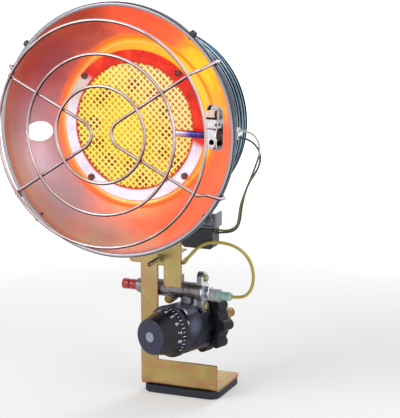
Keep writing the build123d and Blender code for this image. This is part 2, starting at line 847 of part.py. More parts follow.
# ================================================================ standoffs and their screws
# Four short ones hold the burner to the plate and two long ones hold the rear shield. They run
# along the dish's axis, and the ends that meet the upright plate are cut to suit it.
with BuildPart() as burner_standoffs:
    with BuildSketch(at_depth(housing_end_depth + seat_gap)):
        with Locations(*standoff_spots):
            Circle(standoff_radius)
            Circle(standoff_bore, mode=Mode.SUBTRACT)
    extrude(amount=-rim_forward)
    split(bisect_by=plate_front.offset(seat_gap), keep=Keep.TOP)
save(burner_standoffs, "burner_standoffs")

with BuildPart() as shield_standoffs:
    standoff_end = shield_back_depth - shield_sheet - seat_gap
    with BuildSketch(at_depth(standoff_end)):
        with Locations(*upper_spots):
            Circle(standoff_radius)
    extrude(amount=shield_back_depth)
    split(bisect_by=plate_front.offset(-plate_sheet - seat_gap), keep=Keep.BOTTOM)
    with BuildSketch(at_depth(rim_forward + standoff_radius)):
        with Locations(*upper_spots):
            Circle(standoff_bore - seat_gap)
    extrude(amount=rim_forward + standoff_radius - housing_end_depth - 1)
    with BuildSketch(at_depth(standoff_end)):
        with Locations(*upper_spots):
            Circle(standoff_bore)
    extrude(amount=frame_screw_length + 1, mode=Mode.SUBTRACT)
save(shield_standoffs, "shield_standoffs")

lower_seat_depth = (rim_forward + plate_sheet + frame_screw_seat + standoff_rise * sin(tilt)) / cos(tilt)
with BuildPart() as frame_screws:
    for screw_spots, seat_depth in (
        (upper_spots, shield_back_depth + seat_gap),
        (lower_spots, lower_seat_depth),
    ):
        for spot in screw_spots:
            with BuildSketch(at_depth(seat_depth)):
                with Locations(spot):
                    Circle(frame_screw_head_radius)
            head = extrude(amount=-frame_screw_head)
            fillet(head.faces().sort_by(dish_spin)[0].edges(), frame_screw_head * 0.6)
            with BuildSketch(at_depth(seat_depth)):
                with Locations(spot):
                    Circle(frame_screw_radius)
            extrude(amount=frame_screw_length)
save(frame_screws, "frame_screws")

# ================================================================ flame sensor
with BuildPart() as thermocouple:
    sensor_end_depth = insulator_depths[0] - seat_gap
    with BuildLine() as sensor_path:
        FilletPolyline(
            dish_point(sensor_tip_x, sensor_rise, sensor_depth),
            dish_point(sensor_elbow_x, sensor_rise, sensor_depth),
            dish_point(sensor_elbow_x, sensor_rise, sensor_end_depth),
            radius=sensor_elbow_radius,
        )
    with BuildSketch(sensor_path.line ^ 0):
        Circle(sensor_radius)
    sweep(path=sensor_path.line)
    fillet(thermocouple.faces().sort_by(Axis.X)[0].edges(), sensor_radius * 0.8)
save(thermocouple, "thermocouple")

# A bent tab that is welded to the burner's housing and holds the sensor in the reflector's slot
with BuildPart() as sensor_bracket:
    with BuildSketch(at_depth(tab_depth)):
        patch(*tab_x, *tab_rise)
        with Locations(tab_hole):
            Circle(tab_hole_radius, mode=Mode.SUBTRACT)
    extrude(amount=-tab_sheet)
    with BuildSketch(at_depth(upper_tab_depth)):
        patch(*tab_x, *upper_tab_rise)
    extrude(amount=-tab_sheet)
    web_right = Plane(
        origin=dish_point(tab_x[1], 0, 0), x_dir=dish_forward, z_dir=(1, 0, 0)
    )
    with BuildSketch(web_right):
        patch(-tab_foot_depth - tab_sheet, -tab_depth, -upper_tab_rise[1], -tab_rise[0])
        patch(-ceramic_depths[1], -upper_tab_depth, -upper_tab_rise[1] - ceramic_height, -upper_tab_rise[1])
        with Locations((-sensor_depth, -sensor_rise)):
            Circle(sensor_radius + seat_gap, mode=Mode.SUBTRACT)
    extrude(amount=-tab_sheet)
    with BuildSketch(at_depth(tab_foot_depth)):
        patch(housing_radius - ring_sheet, tab_x[1], *tab_rise)
        Circle(housing_outer_radius + seat_gap, mode=Mode.SUBTRACT)
    extrude(amount=-tab_sheet)
save(sensor_bracket, "sensor_bracket")

with BuildPart() as ceramic_block:
    ceramic_low = upper_tab_rise[1] + seat_gap
    with BuildSketch(at_depth(ceramic_depths[0])):
        patch(*ceramic_x, ceramic_low, ceramic_low + ceramic_height)
    extrude(amount=ceramic_depths[0] - ceramic_depths[1])
    fillet(ceramic_block.faces().sort_by(dish_spin)[-1].edges(), 0.8)
save(ceramic_block, "ceramic_block")

with BuildPart() as lead_insulator:
    with BuildSketch(at_depth(insulator_depths[0])):
        patch(*insulator_x, *insulator_rise)
    extrude(amount=insulator_depths[0] - insulator_depths[1])
    fillet(lead_insulator.faces().sort_by(dish_spin)[-1].edges(), 0.8)
save(lead_insulator, "lead_insulator")

# A spring strip that holds the insulator's side to the rear shield's wall
with BuildPart() as lead_clip:
    with BuildSketch(dish_section.offset(-clip_rise)):
        with BuildLine():
            strip_front, strip_step, strip_end = clip_depths
            strip_x = insulator_x[1] + seat_gap
            wall_x = shield_front_radius + seat_gap
            Polyline(
                (strip_x, -strip_front),
                (strip_x + clip_sheet, -strip_front),
                (strip_x + clip_sheet, -strip_step),
                (wall_x + clip_sheet, -strip_step - clip_sheet - 1),
                (wall_x + clip_sheet, -strip_end),
                (wall_x, -strip_end),
                (wall_x, -strip_step - 1),
                (strip_x, -strip_step + clip_sheet / 2),
                close=True,
            )
        make_face()
    extrude(amount=clip_height / 2, both=True)
save(lead_clip, "lead_clip")

# ================================================================ tip-over switch
with BuildPart() as switch_bracket:
    arm_back = -seat_gap
    arm_front = arm_back - arm_sheet
    with BuildSketch(level_plane(0, 0, arm_low)):
        with BuildLine():
            Polyline(
                (arm_left, arm_back),
                (arm_right - arm_sheet, arm_back),
                (arm_right - arm_sheet, arm_back + arm_return),
                (arm_right, arm_back + arm_return),
                (arm_right, arm_front),
                (arm_left, arm_front),
                close=True,
            )
        make_face()
    extrude(amount=arm_high - arm_low)
    fillet(switch_bracket.edges().filter_by(Axis.Z).group_by(Axis.Y)[0].sort_by(Axis.X)[-1], arm_sheet)
    with BuildSketch(level_plane(0, 0, arm_low)):
        patch(*hem_across, arm_front - hem_forward, arm_front)
    extrude(amount=arm_sheet)
    with BuildSketch(plate_front.offset(seat_gap)):
        with Locations(*rivet_places):
            Circle(rivet_radius + running_gap)
    extrude(amount=arm_sheet, mode=Mode.SUBTRACT)
save(switch_bracket, "switch_bracket")

with BuildPart() as switch_rivets:
    for place, tail_back in zip(rivet_places, (plate_sheet, switch_wall)):
        with BuildSketch(plate_front.offset(2 * seat_gap + arm_sheet)):
            with Locations(place):
                Circle(rivet_head_radius)
        head = extrude(amount=rivet_head)
        fillet(head.faces().sort_by(Axis.Y)[0].edges(), rivet_head * 0.8)
        with BuildSketch(plate_front.offset(2 * seat_gap + arm_sheet)):
            with Locations(place):
                Circle(rivet_radius)
        extrude(amount=-(3 * seat_gap + arm_sheet + tail_back))
        with BuildSketch(plate_front.offset(-tail_back - seat_gap)):
            with Locations(place):
                Circle(rivet_head_radius)
        extrude(amount=-rivet_tail)
save(switch_rivets, "switch_rivets")

with BuildPart() as tip_switch_box:
    ear_left, ear_right, ear_top = box_ear
    with BuildSketch(plate_front):
        rounded_patch(switch_left, switch_right, switch_low, switch_high, switch_corner)
    extrude(amount=-switch_depth)
    with BuildSketch(plate_front):
        patch(ear_left, ear_right, switch_high - switch_corner, ear_top)
        with Locations(rivet_places[1]):
            Circle(rivet_radius + running_gap, mode=Mode.SUBTRACT)
    extrude(amount=-switch_wall)
    with BuildSketch(plate_front):
        rounded_patch(
            switch_left + switch_wall,
            switch_right - switch_wall,
            switch_low + switch_wall,
            switch_high - switch_wall,
            switch_corner - switch_wall,
        )
    extrude(amount=switch_wall - switch_depth, mode=Mode.SUBTRACT)
    with BuildSketch(plate_front):
        with Locations(pendulum_pivot):
            Circle(pendulum_pin_radius + running_gap)
    extrude(amount=-switch_depth, mode=Mode.SUBTRACT)
save(tip_switch_box, "tip_switch_box")

with BuildPart() as tip_switch_cover:
    with BuildSketch(plate_front.offset(seat_gap)):
        rounded_patch(switch_left, switch_right, switch_low, switch_high, switch_corner)
    extrude(amount=cover_sheet)
    fillet(tip_switch_cover.faces().sort_by(Axis.Y)[0].edges(), cover_sheet * 0.6)
save(tip_switch_cover, "tip_switch_cover")

with BuildPart() as pendulum_pin:
    with BuildSketch(plate_front.offset(-seat_gap)):
        with Locations(pendulum_pivot):
            Circle(pendulum_pin_radius)
    extrude(amount=2 * seat_gap - switch_depth)
save(pendulum_pin, "pendulum_pin")

with BuildPart() as tilt_pendulum:
    pivot_across, pivot_z = pendulum_pivot
    with BuildSketch(plate_front.offset(-(switch_depth - switch_wall - pendulum_width) / 2)):
        with Locations(pendulum_pivot):
            Circle(pendulum_eye_radius)
        patch(
            pivot_across - pendulum_arm / 2, pivot_across + pendulum_arm / 2, pivot_z - pendulum_length, pivot_z
        )
        with Locations((pivot_across, pivot_z - pendulum_length)):
            Circle(pendulum_bob_radius)
        with Locations(pendulum_pivot):
            Circle(pendulum_pin_radius + running_gap, mode=Mode.SUBTRACT)
    extrude(amount=-pendulum_width)
save(tilt_pendulum, "tilt_pendulum")

# ================================================================ safety valve
with BuildPart() as valve_body:
    with BuildSketch(valve_plane(valve_left)):
        Circle(valve_radius)
    extrude(amount=valve_right - valve_flange - valve_left)
    with BuildSketch(valve_plane(valve_right - valve_flange)):
        Circle(flange_hub_radius)
        SlotCenterToCenter(plate_screw_spread, flange_width, rotation=90)
    extrude(amount=valve_flange)
    with BuildSketch(level_plane(tube_x, tube_back, valve_z)):
        Circle(outlet_boss_radius)
    extrude(amount=jet_seat - valve_z)
    with BuildSketch(outlet_plane(outlet_joint_z)):
        Circle(outlet_radius)
    extrude(amount=valve_z - outlet_joint_z)
    with BuildSketch(plate_front.offset(-plug_boss_front)):
        with Locations(plug_place):
            Circle(plug_boss_radius)
    extrude(amount=plug_boss_front - valve_back)
    with BuildSketch(plate_front.offset(-plate_sheet - seat_gap)):
        for across, height in ear_screw_places:
            ear_ends = sorted((height + ear_margin * (1 if height > valve_z else -1), valve_z))
            patch(across - ear_margin, across + ear_margin, *ear_ends)
    extrude(amount=-ear_sheet)
    with BuildSketch(plate_front):
        with Locations(*ear_screw_places):
            Circle(ear_screw_radius + running_gap)
    extrude(amount=-valve_back, mode=Mode.SUBTRACT)
    with BuildSketch(valve_plane(valve_left)):
        Circle(button_bore)
    extrude(amount=button_bore_end - valve_left, mode=Mode.SUBTRACT)
    with BuildSketch(valve_plane(valve_left)):
        Circle(rod_bore)
    extrude(amount=valve_right - valve_left, mode=Mode.SUBTRACT)
    with BuildSketch(valve_plane(valve_right)):
        Circle(magnet_bore + seat_gap)
    extrude(amount=magnet_chamber_left - valve_right, mode=Mode.SUBTRACT)
    with BuildSketch(valve_plane(valve_right)):
        with Locations((0, plate_screw_spread / 2), (0, -plate_screw_spread / 2)):
            Circle(plate_screw_radius + running_gap)
    extrude(amount=-valve_flange, mode=Mode.SUBTRACT)
    with BuildSketch(level_plane(tube_x, tube_back, jet_seat)):
        Circle(jet_thread_radius + running_gap)
    extrude(amount=-jet_thread_length - seat_gap, mode=Mode.SUBTRACT)
    with BuildSketch(level_plane(tube_x, tube_back, jet_seat)):
        Circle(valve_passage_radius)
    extrude(amount=valve_z - jet_seat, mode=Mode.SUBTRACT)
    with BuildSketch(outlet_plane(outlet_joint_z)):
        Circle(valve_passage_radius)
    extrude(amount=valve_z - outlet_joint_z, mode=Mode.SUBTRACT)
    with BuildSketch(plate_front.offset(-plug_boss_front)):
        with Locations(plug_place):
            Circle(plug_thread_radius + running_gap)
    extrude(amount=-plug_thread_length - seat_gap, mode=Mode.SUBTRACT)
save(valve_body, "valve_body")

with BuildPart() as valve_screws:
    ear_back = plate_front.offset(-plate_sheet - seat_gap - ear_sheet - seat_gap)
    for place in ear_screw_places:
        with BuildSketch(ear_back):
            with Locations(place):
                Circle(ear_screw_head_radius)
        head = extrude(amount=-ear_screw_head)
        fillet(head.faces().sort_by(Axis.Y)[-1].edges(), ear_screw_head * 0.5)
        with BuildSketch(ear_back):
            with Locations(place):
                Circle(ear_screw_radius)
        extrude(amount=seat_gap + ear_sheet + seat_gap + plate_sheet)
save(valve_screws, "valve_screws")

with BuildPart() as test_plug:
    boss_face = plate_front.offset(seat_gap - plug_boss_front)
    with BuildSketch(boss_face):
        with Locations(plug_place):
            Circle(plug_head_radius)
            Rectangle(2 * plug_head_radius, 0.8, rotation=25, mode=Mode.SUBTRACT)
    extrude(amount=plug_head)
    with BuildSketch(boss_face):
        with Locations(plug_place):
            Circle(plug_head_radius)
    extrude(amount=plug_head * 0.6)
    with BuildSketch(boss_face):
        with Locations(plug_place):
            Circle(plug_thread_radius)
    extrude(amount=-plug_thread_length)
save(test_plug, "test_plug")

with BuildPart() as magnet_plate:
    with BuildSketch(valve_plane(valve_right + seat_gap)):
        Circle(flange_hub_radius)
        SlotCenterToCenter(plate_screw_spread, flange_width, rotation=90)
        Circle(magnet_bore + seat_gap, mode=Mode.SUBTRACT)
        with Locations((0, plate_screw_spread / 2), (0, -plate_screw_spread / 2)):
            Circle(plate_screw_radius + running_gap, mode=Mode.SUBTRACT)
    extrude(amount=magnet_plate_sheet)
save(magnet_plate, "magnet_plate")

with BuildPart() as plate_screws:
    screw_seat = valve_plane(valve_right + seat_gap + magnet_plate_sheet + seat_gap)
    for height in (plate_screw_spread / 2, -plate_screw_spread / 2):
        with BuildSketch(screw_seat):
            with Locations((0, height)):
                Circle(plate_screw_head_radius)
        head = extrude(amount=plate_screw_head)
        fillet(head.faces().sort_by(Axis.X)[-1].edges(), plate_screw_head * 0.6)
        with BuildSketch(screw_seat):
            with Locations((0, height)):
                Circle(plate_screw_radius)
        extrude(amount=-seat_gap - magnet_plate_sheet - seat_gap - valve_flange)
save(plate_screws, "plate_screws")

# The magnet holds the valve open while the sensor is hot.
with BuildPart() as magnet_unit:
    magnet_seat = valve_right + seat_gap + magnet_plate_sheet + seat_gap
    with BuildSketch(valve_plane(magnet_seat)):
        RegularPolygon(magnet_hex_across / 2, 6, major_radius=False)
    extrude(amount=magnet_hex)
    chamfer(magnet_unit.faces().sort_by(Axis.X)[-1].edges(), 0.5)
    with BuildSketch(valve_plane(magnet_seat)):
        Circle(magnet_bore)
    extrude(amount=-magnet_length)
    with BuildSketch(valve_plane(magnet_seat - magnet_length)):
        Circle(magnet_stem_radius)
    extrude(amount=-magnet_stem_length)
    with BuildSketch(valve_plane(magnet_end)):
        with Locations((0, -boot_drop)):
            Circle(magnet_stub_radius)
    extrude(amount=magnet_stub_length)
save(magnet_unit, "magnet_unit")

with BuildPart() as lead_sleeve:
    with BuildSketch(valve_plane(magnet_end + seat_gap)):
        with Locations((0, -boot_drop)):
            Circle(sleeve_radius)
            Circle(sleeve_radius - sleeve_wall, mode=Mode.SUBTRACT)
    extrude(amount=sleeve_length)
save(lead_sleeve, "lead_sleeve")

with BuildPart() as lead_boot:
    with BuildSketch(valve_plane(boot_end - boot_length)):
        with Locations((0, -boot_drop)):
            Circle(boot_radius)
    extrude(amount=boot_length)
    chamfer(lead_boot.faces().sort_by(Axis.X)[-1].edges(), boot_taper, boot_taper * 0.6)
save(lead_boot, "lead_boot")

# Pressing the button pushes the rod against the valve's spring until the magnet holds.
with BuildPart() as reset_button:
    waist_low, waist_high = button_waist
    with BuildSketch(valve_section):
        with BuildLine():
            Polyline(
                (button_outer_end, 0),
                (button_outer_end, button_radius),
                (waist_low, button_radius),
                (waist_low, button_waist_radius),
                (waist_high, button_waist_radius),
                (waist_high, button_radius),
                (button_inner_end, button_radius),
                (button_inner_end, push_rod_radius),
                (push_rod_end, push_rod_radius),
                (push_rod_end, 0),
                close=True,
            )
        make_face()
    revolve(axis=valve_spin)
    fillet(reset_button.faces().sort_by(Axis.X)[0].edges(), 1.2)
save(reset_button, "reset_button")

with BuildPart() as button_collar:
    with BuildSketch(valve_plane(valve_left - seat_gap - collar_length)):
        Circle(collar_radius)
        Circle(button_radius + running_gap, mode=Mode.SUBTRACT)
    extrude(amount=collar_length)
save(button_collar, "button_collar")

with BuildPart() as button_spring:
    coil_room = button_bore_end - button_inner_end - 2 * button_spring_wire - 2 * seat_gap
    coil_start = (stem_x + button_inner_end + button_spring_wire + seat_gap, valve_y, valve_z)
    with BuildLine() as button_coil:
        Helix(button_spring_pitch, coil_room, button_spring_radius, center=coil_start, direction=(1, 0, 0))
    with BuildSketch(button_coil.line ^ 0):
        Circle(button_spring_wire)
    sweep(path=button_coil.line)
save(button_spring, "button_spring")

# ================================================================ inlet and handwheel
nut_back = -inlet_length / 2
nut_shoulder = inlet_length / 2 + nut_collar
with BuildPart() as inlet_nut:
    with BuildSketch(gas_plane(nut_back)):
        Circle(inlet_radius)
    extrude(amount=inlet_length)
    chamfer(inlet_nut.faces().sort_by(gas_spin)[0].edges(), 1.0)
    with BuildSketch(gas_plane(inlet_length / 2)):
        Circle(nut_collar_radius)
    extrude(amount=nut_collar)
    with BuildSketch(gas_plane(nut_shoulder)):
        RegularPolygon(nut_hex_across / 2, 6, major_radius=False)
    extrude(amount=nut_hex_end - nut_shoulder)
    with BuildSketch(gas_plane(nut_back)):
        Circle(nipple_radius + running_gap)
    extrude(amount=nut_hex_end - nut_back, mode=Mode.SUBTRACT)
save(inlet_nut, "inlet_nut")

with BuildPart() as inlet_nipple:
    shoulder_front = nut_back - seat_gap
    shoulder_back = shoulder_front - nipple_shoulder
    nose_tip = shoulder_back - nose_length
    nipple_front = body_back + inlet_bore_depth - seat_gap
    with BuildSketch(gas_section):
        with BuildLine():
            Polyline(
                (nipple_bore, nose_tip),
                (nose_tip_radius, nose_tip),
                (nipple_radius, shoulder_back),
                (nipple_shoulder_radius, shoulder_back),
                (nipple_shoulder_radius, shoulder_front),
                (nipple_radius, shoulder_front),
                (nipple_radius, nipple_front),
                (nipple_bore, nipple_front),
                close=True,
            )
        make_face()
    revolve(axis=gas_spin)
save(inlet_nipple, "inlet_nipple")

with BuildPart() as nose_seal:
    with BuildSketch(gas_plane(nose_tip - seat_gap)):
        Circle(nose_tip_radius)
    extrude(amount=-nose_seal_length)
    fillet(nose_seal.faces().sort_by(gas_spin)[0].edges(), nose_seal_length * 0.6)
    with BuildSketch(gas_plane(nose_tip - seat_gap)):
        Circle(nipple_bore)
    extrude(amount=-nose_seal_length, mode=Mode.SUBTRACT)
save(nose_seal, "nose_seal")

with BuildPart() as handwheel:
    with BuildSketch(gas_plane(nut_shoulder + seat_gap)):
        Circle(wheel_radius)
        with PolarLocations(wheel_lobe_circle, wheel_lobes):
            Circle(wheel_lobe_radius)
    extrude(amount=wheel_length)
    wheel_faces = handwheel.faces().sort_by(gas_spin)
    fillet(wheel_faces[0].edges() + wheel_faces[-1].edges(), wheel_edge)
    recess_inner, recess_outer = wheel_recess
    with BuildSketch(gas_plane(nut_shoulder + seat_gap + wheel_length)):
        Circle(recess_outer)
        Circle(recess_inner, mode=Mode.SUBTRACT)
    extrude(amount=-wheel_recess_depth, mode=Mode.SUBTRACT)
    with BuildSketch(gas_plane(nut_shoulder)):
        RegularPolygon(nut_hex_across / 2 + seat_gap, 6, major_radius=False)
    extrude(amount=2 * wheel_length, mode=Mode.SUBTRACT)
save(handwheel, "handwheel")

# ================================================================ regulator
neck_back = body_front - body_neck_length
with BuildPart() as regulator_body:
    with BuildSketch(gas_plane(body_back)):
        RectangleRounded(body_width, body_height, body_corner)
    extrude(amount=neck_back - body_back)
    body_ends = regulator_body.faces().sort_by(gas_spin)
    fillet(body_ends[0].edges() + body_ends[-1].edges(), body_edge)
    with BuildSketch(gas_plane(neck_back)):
        Circle(body_neck_radius)
    extrude(amount=body_neck_length)
    with BuildSketch(outlet_plane(outlet_joint_z - seat_gap)):
        Circle(outlet_radius)
    extrude(amount=-body_corner)
    with BuildSketch(gas_plane(body_back)):
        Circle(nipple_radius + running_gap)
    extrude(amount=inlet_bore_depth, mode=Mode.SUBTRACT)
    with BuildSketch(gas_plane(body_back)):
        Circle(gas_passage_radius)
    extrude(amount=chamber_back - body_back, mode=Mode.SUBTRACT)
    with BuildSketch(gas_plane(body_front)):
        Circle(chamber_radius)
    extrude(amount=chamber_back - body_front, mode=Mode.SUBTRACT)
    with BuildSketch(outlet_plane(outlet_joint_z)):
        Circle(gas_passage_radius)
    extrude(amount=outlet_passage_rise - outlet_joint_z, mode=Mode.SUBTRACT)
    with BuildSketch(gas_plane(outlet_reach)):
        with Locations((0, outlet_passage_rise)):
            Circle(gas_passage_radius)
    extrude(amount=chamber_back - outlet_reach, mode=Mode.SUBTRACT)
    # A step in the casting clears the lower end of the safety valve's flange.
    flange_low = valve_z - (plate_screw_spread + flange_width) / 2 - air_gap
    with BuildSketch(level_plane(0, valve_back, flange_low)):
        patch(
            valve_right - valve_flange - air_gap,
            magnet_end,
            -flange_width / 2 - air_gap,
            flange_width / 2 + air_gap,
        )
    extrude(amount=body_height, mode=Mode.SUBTRACT)
save(regulator_body, "regulator_body")

with BuildPart() as diaphragm:
    with BuildSketch(gas_plane(body_front - diaphragm_sheet - air_gap)):
        Circle(chamber_radius - seat_gap)
    extrude(amount=diaphragm_sheet)
save(diaphragm, "diaphragm")

bonnet_back = body_front + seat_gap
bonnet_front = bonnet_back + bonnet_flange + bonnet_length
with BuildPart() as regulator_bonnet:
    with BuildSketch(gas_section):
        with BuildLine():
            Polyline(
                (bonnet_bore, bonnet_back),
                (bonnet_flange_radius, bonnet_back),
                (bonnet_flange_radius, bonnet_back + bonnet_flange),
                (bonnet_radius, bonnet_back + bonnet_flange),
                (bonnet_radius, bonnet_front),
                (stem_radius + running_gap, bonnet_front),
                (stem_radius + running_gap, bonnet_front - bonnet_cap),
                (bonnet_bore, bonnet_front - bonnet_cap),
                close=True,
            )
        make_face()
    revolve(axis=gas_spin)
save(regulator_bonnet, "regulator_bonnet")

with BuildPart() as spring_seat:
    with BuildSketch(gas_plane(spring_seat_reach)):
        Circle(spring_seat_radius)
        Circle(stem_radius + running_gap, mode=Mode.SUBTRACT)
    extrude(amount=spring_seat_sheet)
save(spring_seat, "spring_seat")

with BuildPart() as regulator_spring:
    coil_back = body_front - air_gap + main_spring_wire + seat_gap
    coil_front = spring_seat_reach - main_spring_wire - seat_gap
    with BuildLine() as main_coil:
        Helix(
            main_spring_pitch,
            coil_front - coil_back,
            main_spring_radius,
            center=gas_forward * coil_back,
            direction=gas_forward,
        )
    with BuildSketch(main_coil.line ^ 0):
        Circle(main_spring_wire)
    sweep(path=main_coil.line)
save(regulator_spring, "regulator_spring")

# ================================================================ control knob
knob_front = skirt_reach + knob_length
knob_inside = knob_front - knob_wall
with BuildPart() as control_knob:
    with BuildSketch(gas_section):
        with BuildLine():
            Polyline(
                (0, knob_front),
                (knob_front_radius, knob_front),
                (knob_shoulder_radius, skirt_reach + skirt_length),
                (skirt_radius, skirt_reach + skirt_length),
                (skirt_radius, skirt_reach),
                (knob_shoulder_radius - knob_wall, skirt_reach),
                (knob_shoulder_radius - knob_wall, skirt_reach + skirt_length),
                (knob_front_radius - knob_wall, knob_inside),
                (knob_hub_radius, knob_inside),
                (knob_hub_radius, knob_inside - knob_hub_length),
                (stem_radius + seat_gap, knob_inside - knob_hub_length),
                (stem_radius + seat_gap, knob_inside),
                (0, knob_inside),
                close=True,
            )
        make_face()
    revolve(axis=gas_spin)
    front_rim = control_knob.faces().sort_by(gas_spin)[-1].edges()
    fillet(front_rim, knob_edge)
save(control_knob, "control_knob")

with BuildPart() as knob_cap:
    with BuildSketch(gas_plane(knob_front + seat_gap)):
        Circle(cap_radius)
    extrude(amount=cap_height)
    fillet(knob_cap.faces().sort_by(gas_spin)[-1].edges(), cap_height * 0.5)
save(knob_cap, "knob_cap")

with BuildPart() as knob_stem:
    stem_back = spring_seat_reach - spring_seat_travel - seat_gap - spring_seat_sheet
    with BuildSketch(gas_plane(stem_back)):
        Circle(stem_radius)
    extrude(amount=knob_inside - seat_gap - stem_back)
save(knob_stem, "knob_stem")

# ================================================================ leads
leads = (
    ("magnet_lead", lead_radius, magnet_lead_route),
    ("sensor_lead_front", sensor_lead_radius, sensor_lead_front_route),
    ("sensor_lead_back", sensor_lead_radius, sensor_lead_back_route),
)
for lead_name, wire, route in leads:
    points = [Vector(stem_x + across, plate_y + back, height) for across, back, height in route]
    bends = []
    for before, corner, after in zip(points, points[1:], points[2:]):
        turn = radians((corner - before).get_angle(after - corner))
        run = min((corner - before).length, (after - corner).length)
        bends.append(0.45 * run / tan(turn / 2))
    with BuildPart() as lead:
        with BuildLine() as lead_path:
            FilletPolyline(*points, radius=bends)
        with BuildSketch(lead_path.line ^ 0):
            Circle(wire)
        sweep(path=lead_path.line)
    lead_length = sum(edge.length for edge in lead_path.edges())
    print(lead_name, "length", round(lead_length, 1), "radii", [round(bend, 1) for bend in bends])
    print(lead_name, "volume over section times length", lead.part.volume / (pi * wire**2 * lead_length))
    save(lead, lead_name)
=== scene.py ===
from math import cos, pi, radians, sin, sqrt
from types import SimpleNamespace

import bmesh
import bpy
from mathutils import Matrix, Vector


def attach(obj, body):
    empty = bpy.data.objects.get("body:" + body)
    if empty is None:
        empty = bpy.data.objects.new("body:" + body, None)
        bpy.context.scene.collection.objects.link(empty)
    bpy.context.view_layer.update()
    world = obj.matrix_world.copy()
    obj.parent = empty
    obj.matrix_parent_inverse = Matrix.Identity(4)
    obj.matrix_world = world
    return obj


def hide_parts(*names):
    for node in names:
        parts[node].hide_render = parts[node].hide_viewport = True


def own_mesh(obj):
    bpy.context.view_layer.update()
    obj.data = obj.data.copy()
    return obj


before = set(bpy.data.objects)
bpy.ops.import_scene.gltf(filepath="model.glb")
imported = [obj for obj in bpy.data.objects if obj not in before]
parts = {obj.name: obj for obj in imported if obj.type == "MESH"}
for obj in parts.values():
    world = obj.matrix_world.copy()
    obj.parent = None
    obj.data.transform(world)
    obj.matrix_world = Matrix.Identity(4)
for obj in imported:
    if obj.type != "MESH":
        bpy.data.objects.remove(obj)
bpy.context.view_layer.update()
print("frame loaded with", len(parts), "parts")

# places that several pieces share, in metres
stemX = -0.0455                     # middle of the bracket's post and of the dish
plateY = -0.0485                    # front face of the bracket's plate
valveY = plateY + 0.011
valveZ = 0.033
floorZ = -0.0634
rimCentre = Vector((stemX, plateY - 0.07, 0.1885))
dishTilt = radians(3)
gasSwing = radians(19.5)
dishForward = Vector((0, -cos(dishTilt), sin(dishTilt)))
dishUp = Vector((0, sin(dishTilt), cos(dishTilt)))
right = Vector((1, 0, 0))
up = Vector((0, 0, 1))
gasForward = Vector((-sin(gasSwing), -cos(gasSwing), 0))
gasAcross = Vector((cos(gasSwing), -sin(gasSwing), 0))


def dishPoint(across, rise, depth):
    # millimetres from the middle of the rim, depth to the back
    return rimCentre + (right * across + dishUp * rise - dishForward * depth) / 1000


def platePoint(across, back, height):
    # millimetres from the foot of the bracket's plate, as the leads' routes are measured
    return Vector((stemX + across / 1000, plateY + back / 1000, height / 1000))


def axesAt(origin, x, y, z):
    # the matrix that lays the three axes of a piece along these directions
    return Matrix.Translation(origin) @ Matrix((x, y, z)).transposed().to_4x4()


def tint(red, green, blue):
    # screen colour to the linear one that the shaders work in
    shares = [v / 255 for v in (red, green, blue)]
    return tuple(s / 12.92 if s <= 0.04045 else ((s + 0.055) / 1.055) ** 2.4 for s in shares) + (1,)


# camera
view = {"place": (0.6096, -1.5117, 0.4736), "azimuth": 22.5, "elevation": 12.9, "lens": 167.4, "reach": 20}


def setCamera():
    cameraData = bpy.data.cameras.new("camera")
    cameraData.sensor_fit = "HORIZONTAL"
    cameraData.lens = view["lens"]
    cameraData.clip_end = view["reach"]
    camera = bpy.data.objects.new("camera", cameraData)
    bpy.context.scene.collection.objects.link(camera)
    side, lift = radians(view["azimuth"]), radians(view["elevation"])
    towards = Vector((-sin(side) * cos(lift), cos(side) * cos(lift), -sin(lift)))
    camera.location = view["place"]
    camera.rotation_euler = towards.to_track_quat("-Z", "Y").to_euler()
    bpy.context.scene.camera = camera


setCamera()
print("camera placed")


# shader helpers, all of which take the node tree first
noiseRange = (0.3, 0.7)             # most of a noise's values lie between these
speckRange = (0.6, 0.72)            # a grain shows as specks above these
wornRange = (0.4, 0.6)              # a grain lets a worn edge show above these


def feed(tree, socket, value):
    if isinstance(value, bpy.types.NodeSocket):
        tree.links.new(value, socket)
    else:
        socket.default_value = value


def newFinish(name):
    finish = bpy.data.materials.new(name)
    finish.use_nodes = True
    tree = finish.node_tree
    tree.nodes.clear()
    shader = tree.nodes.new("ShaderNodeBsdfPrincipled")
    output = tree.nodes.new("ShaderNodeOutputMaterial")
    tree.links.new(shader.outputs[0], output.inputs[0])
    return finish, tree, shader


def cover(tree, shader, colour, rough, relief, metallic=0.0):
    feed(tree, shader.inputs["Base Color"], colour)
    feed(tree, shader.inputs["Roughness"], rough)
    feed(tree, shader.inputs["Normal"], relief)
    feed(tree, shader.inputs["Metallic"], metallic)


def glow(tree, shader, colour, strength):
    feed(tree, shader.inputs["Emission Color"], colour)
    feed(tree, shader.inputs["Emission Strength"], strength)


def maths(tree, kind, first, second=0.0):
    node = tree.nodes.new("ShaderNodeMath")
    node.operation = kind
    feed(tree, node.inputs[0], first)
    feed(tree, node.inputs[1], second)
    return node.outputs[0]


def times(tree, first, second):
    return maths(tree, "MULTIPLY", first, second)


def plus(tree, first, second):
    return maths(tree, "ADD", first, second)


def minus(tree, first, second):
    return maths(tree, "SUBTRACT", first, second)


def hypotenuse(tree, first, second):
    return maths(tree, "SQRT", plus(tree, times(tree, first, first), times(tree, second, second)))


def vectors(tree, kind, first, second=(0, 0, 0)):
    node = tree.nodes.new("ShaderNodeVectorMath")
    node.operation = kind
    feed(tree, node.inputs[0], first)
    feed(tree, node.inputs[1], second)
    return node.outputs["Value" if kind in ("DOT_PRODUCT", "LENGTH") else "Vector"]


def objectCoords(tree):
    return tree.nodes.new("ShaderNodeTexCoord").outputs["Object"]


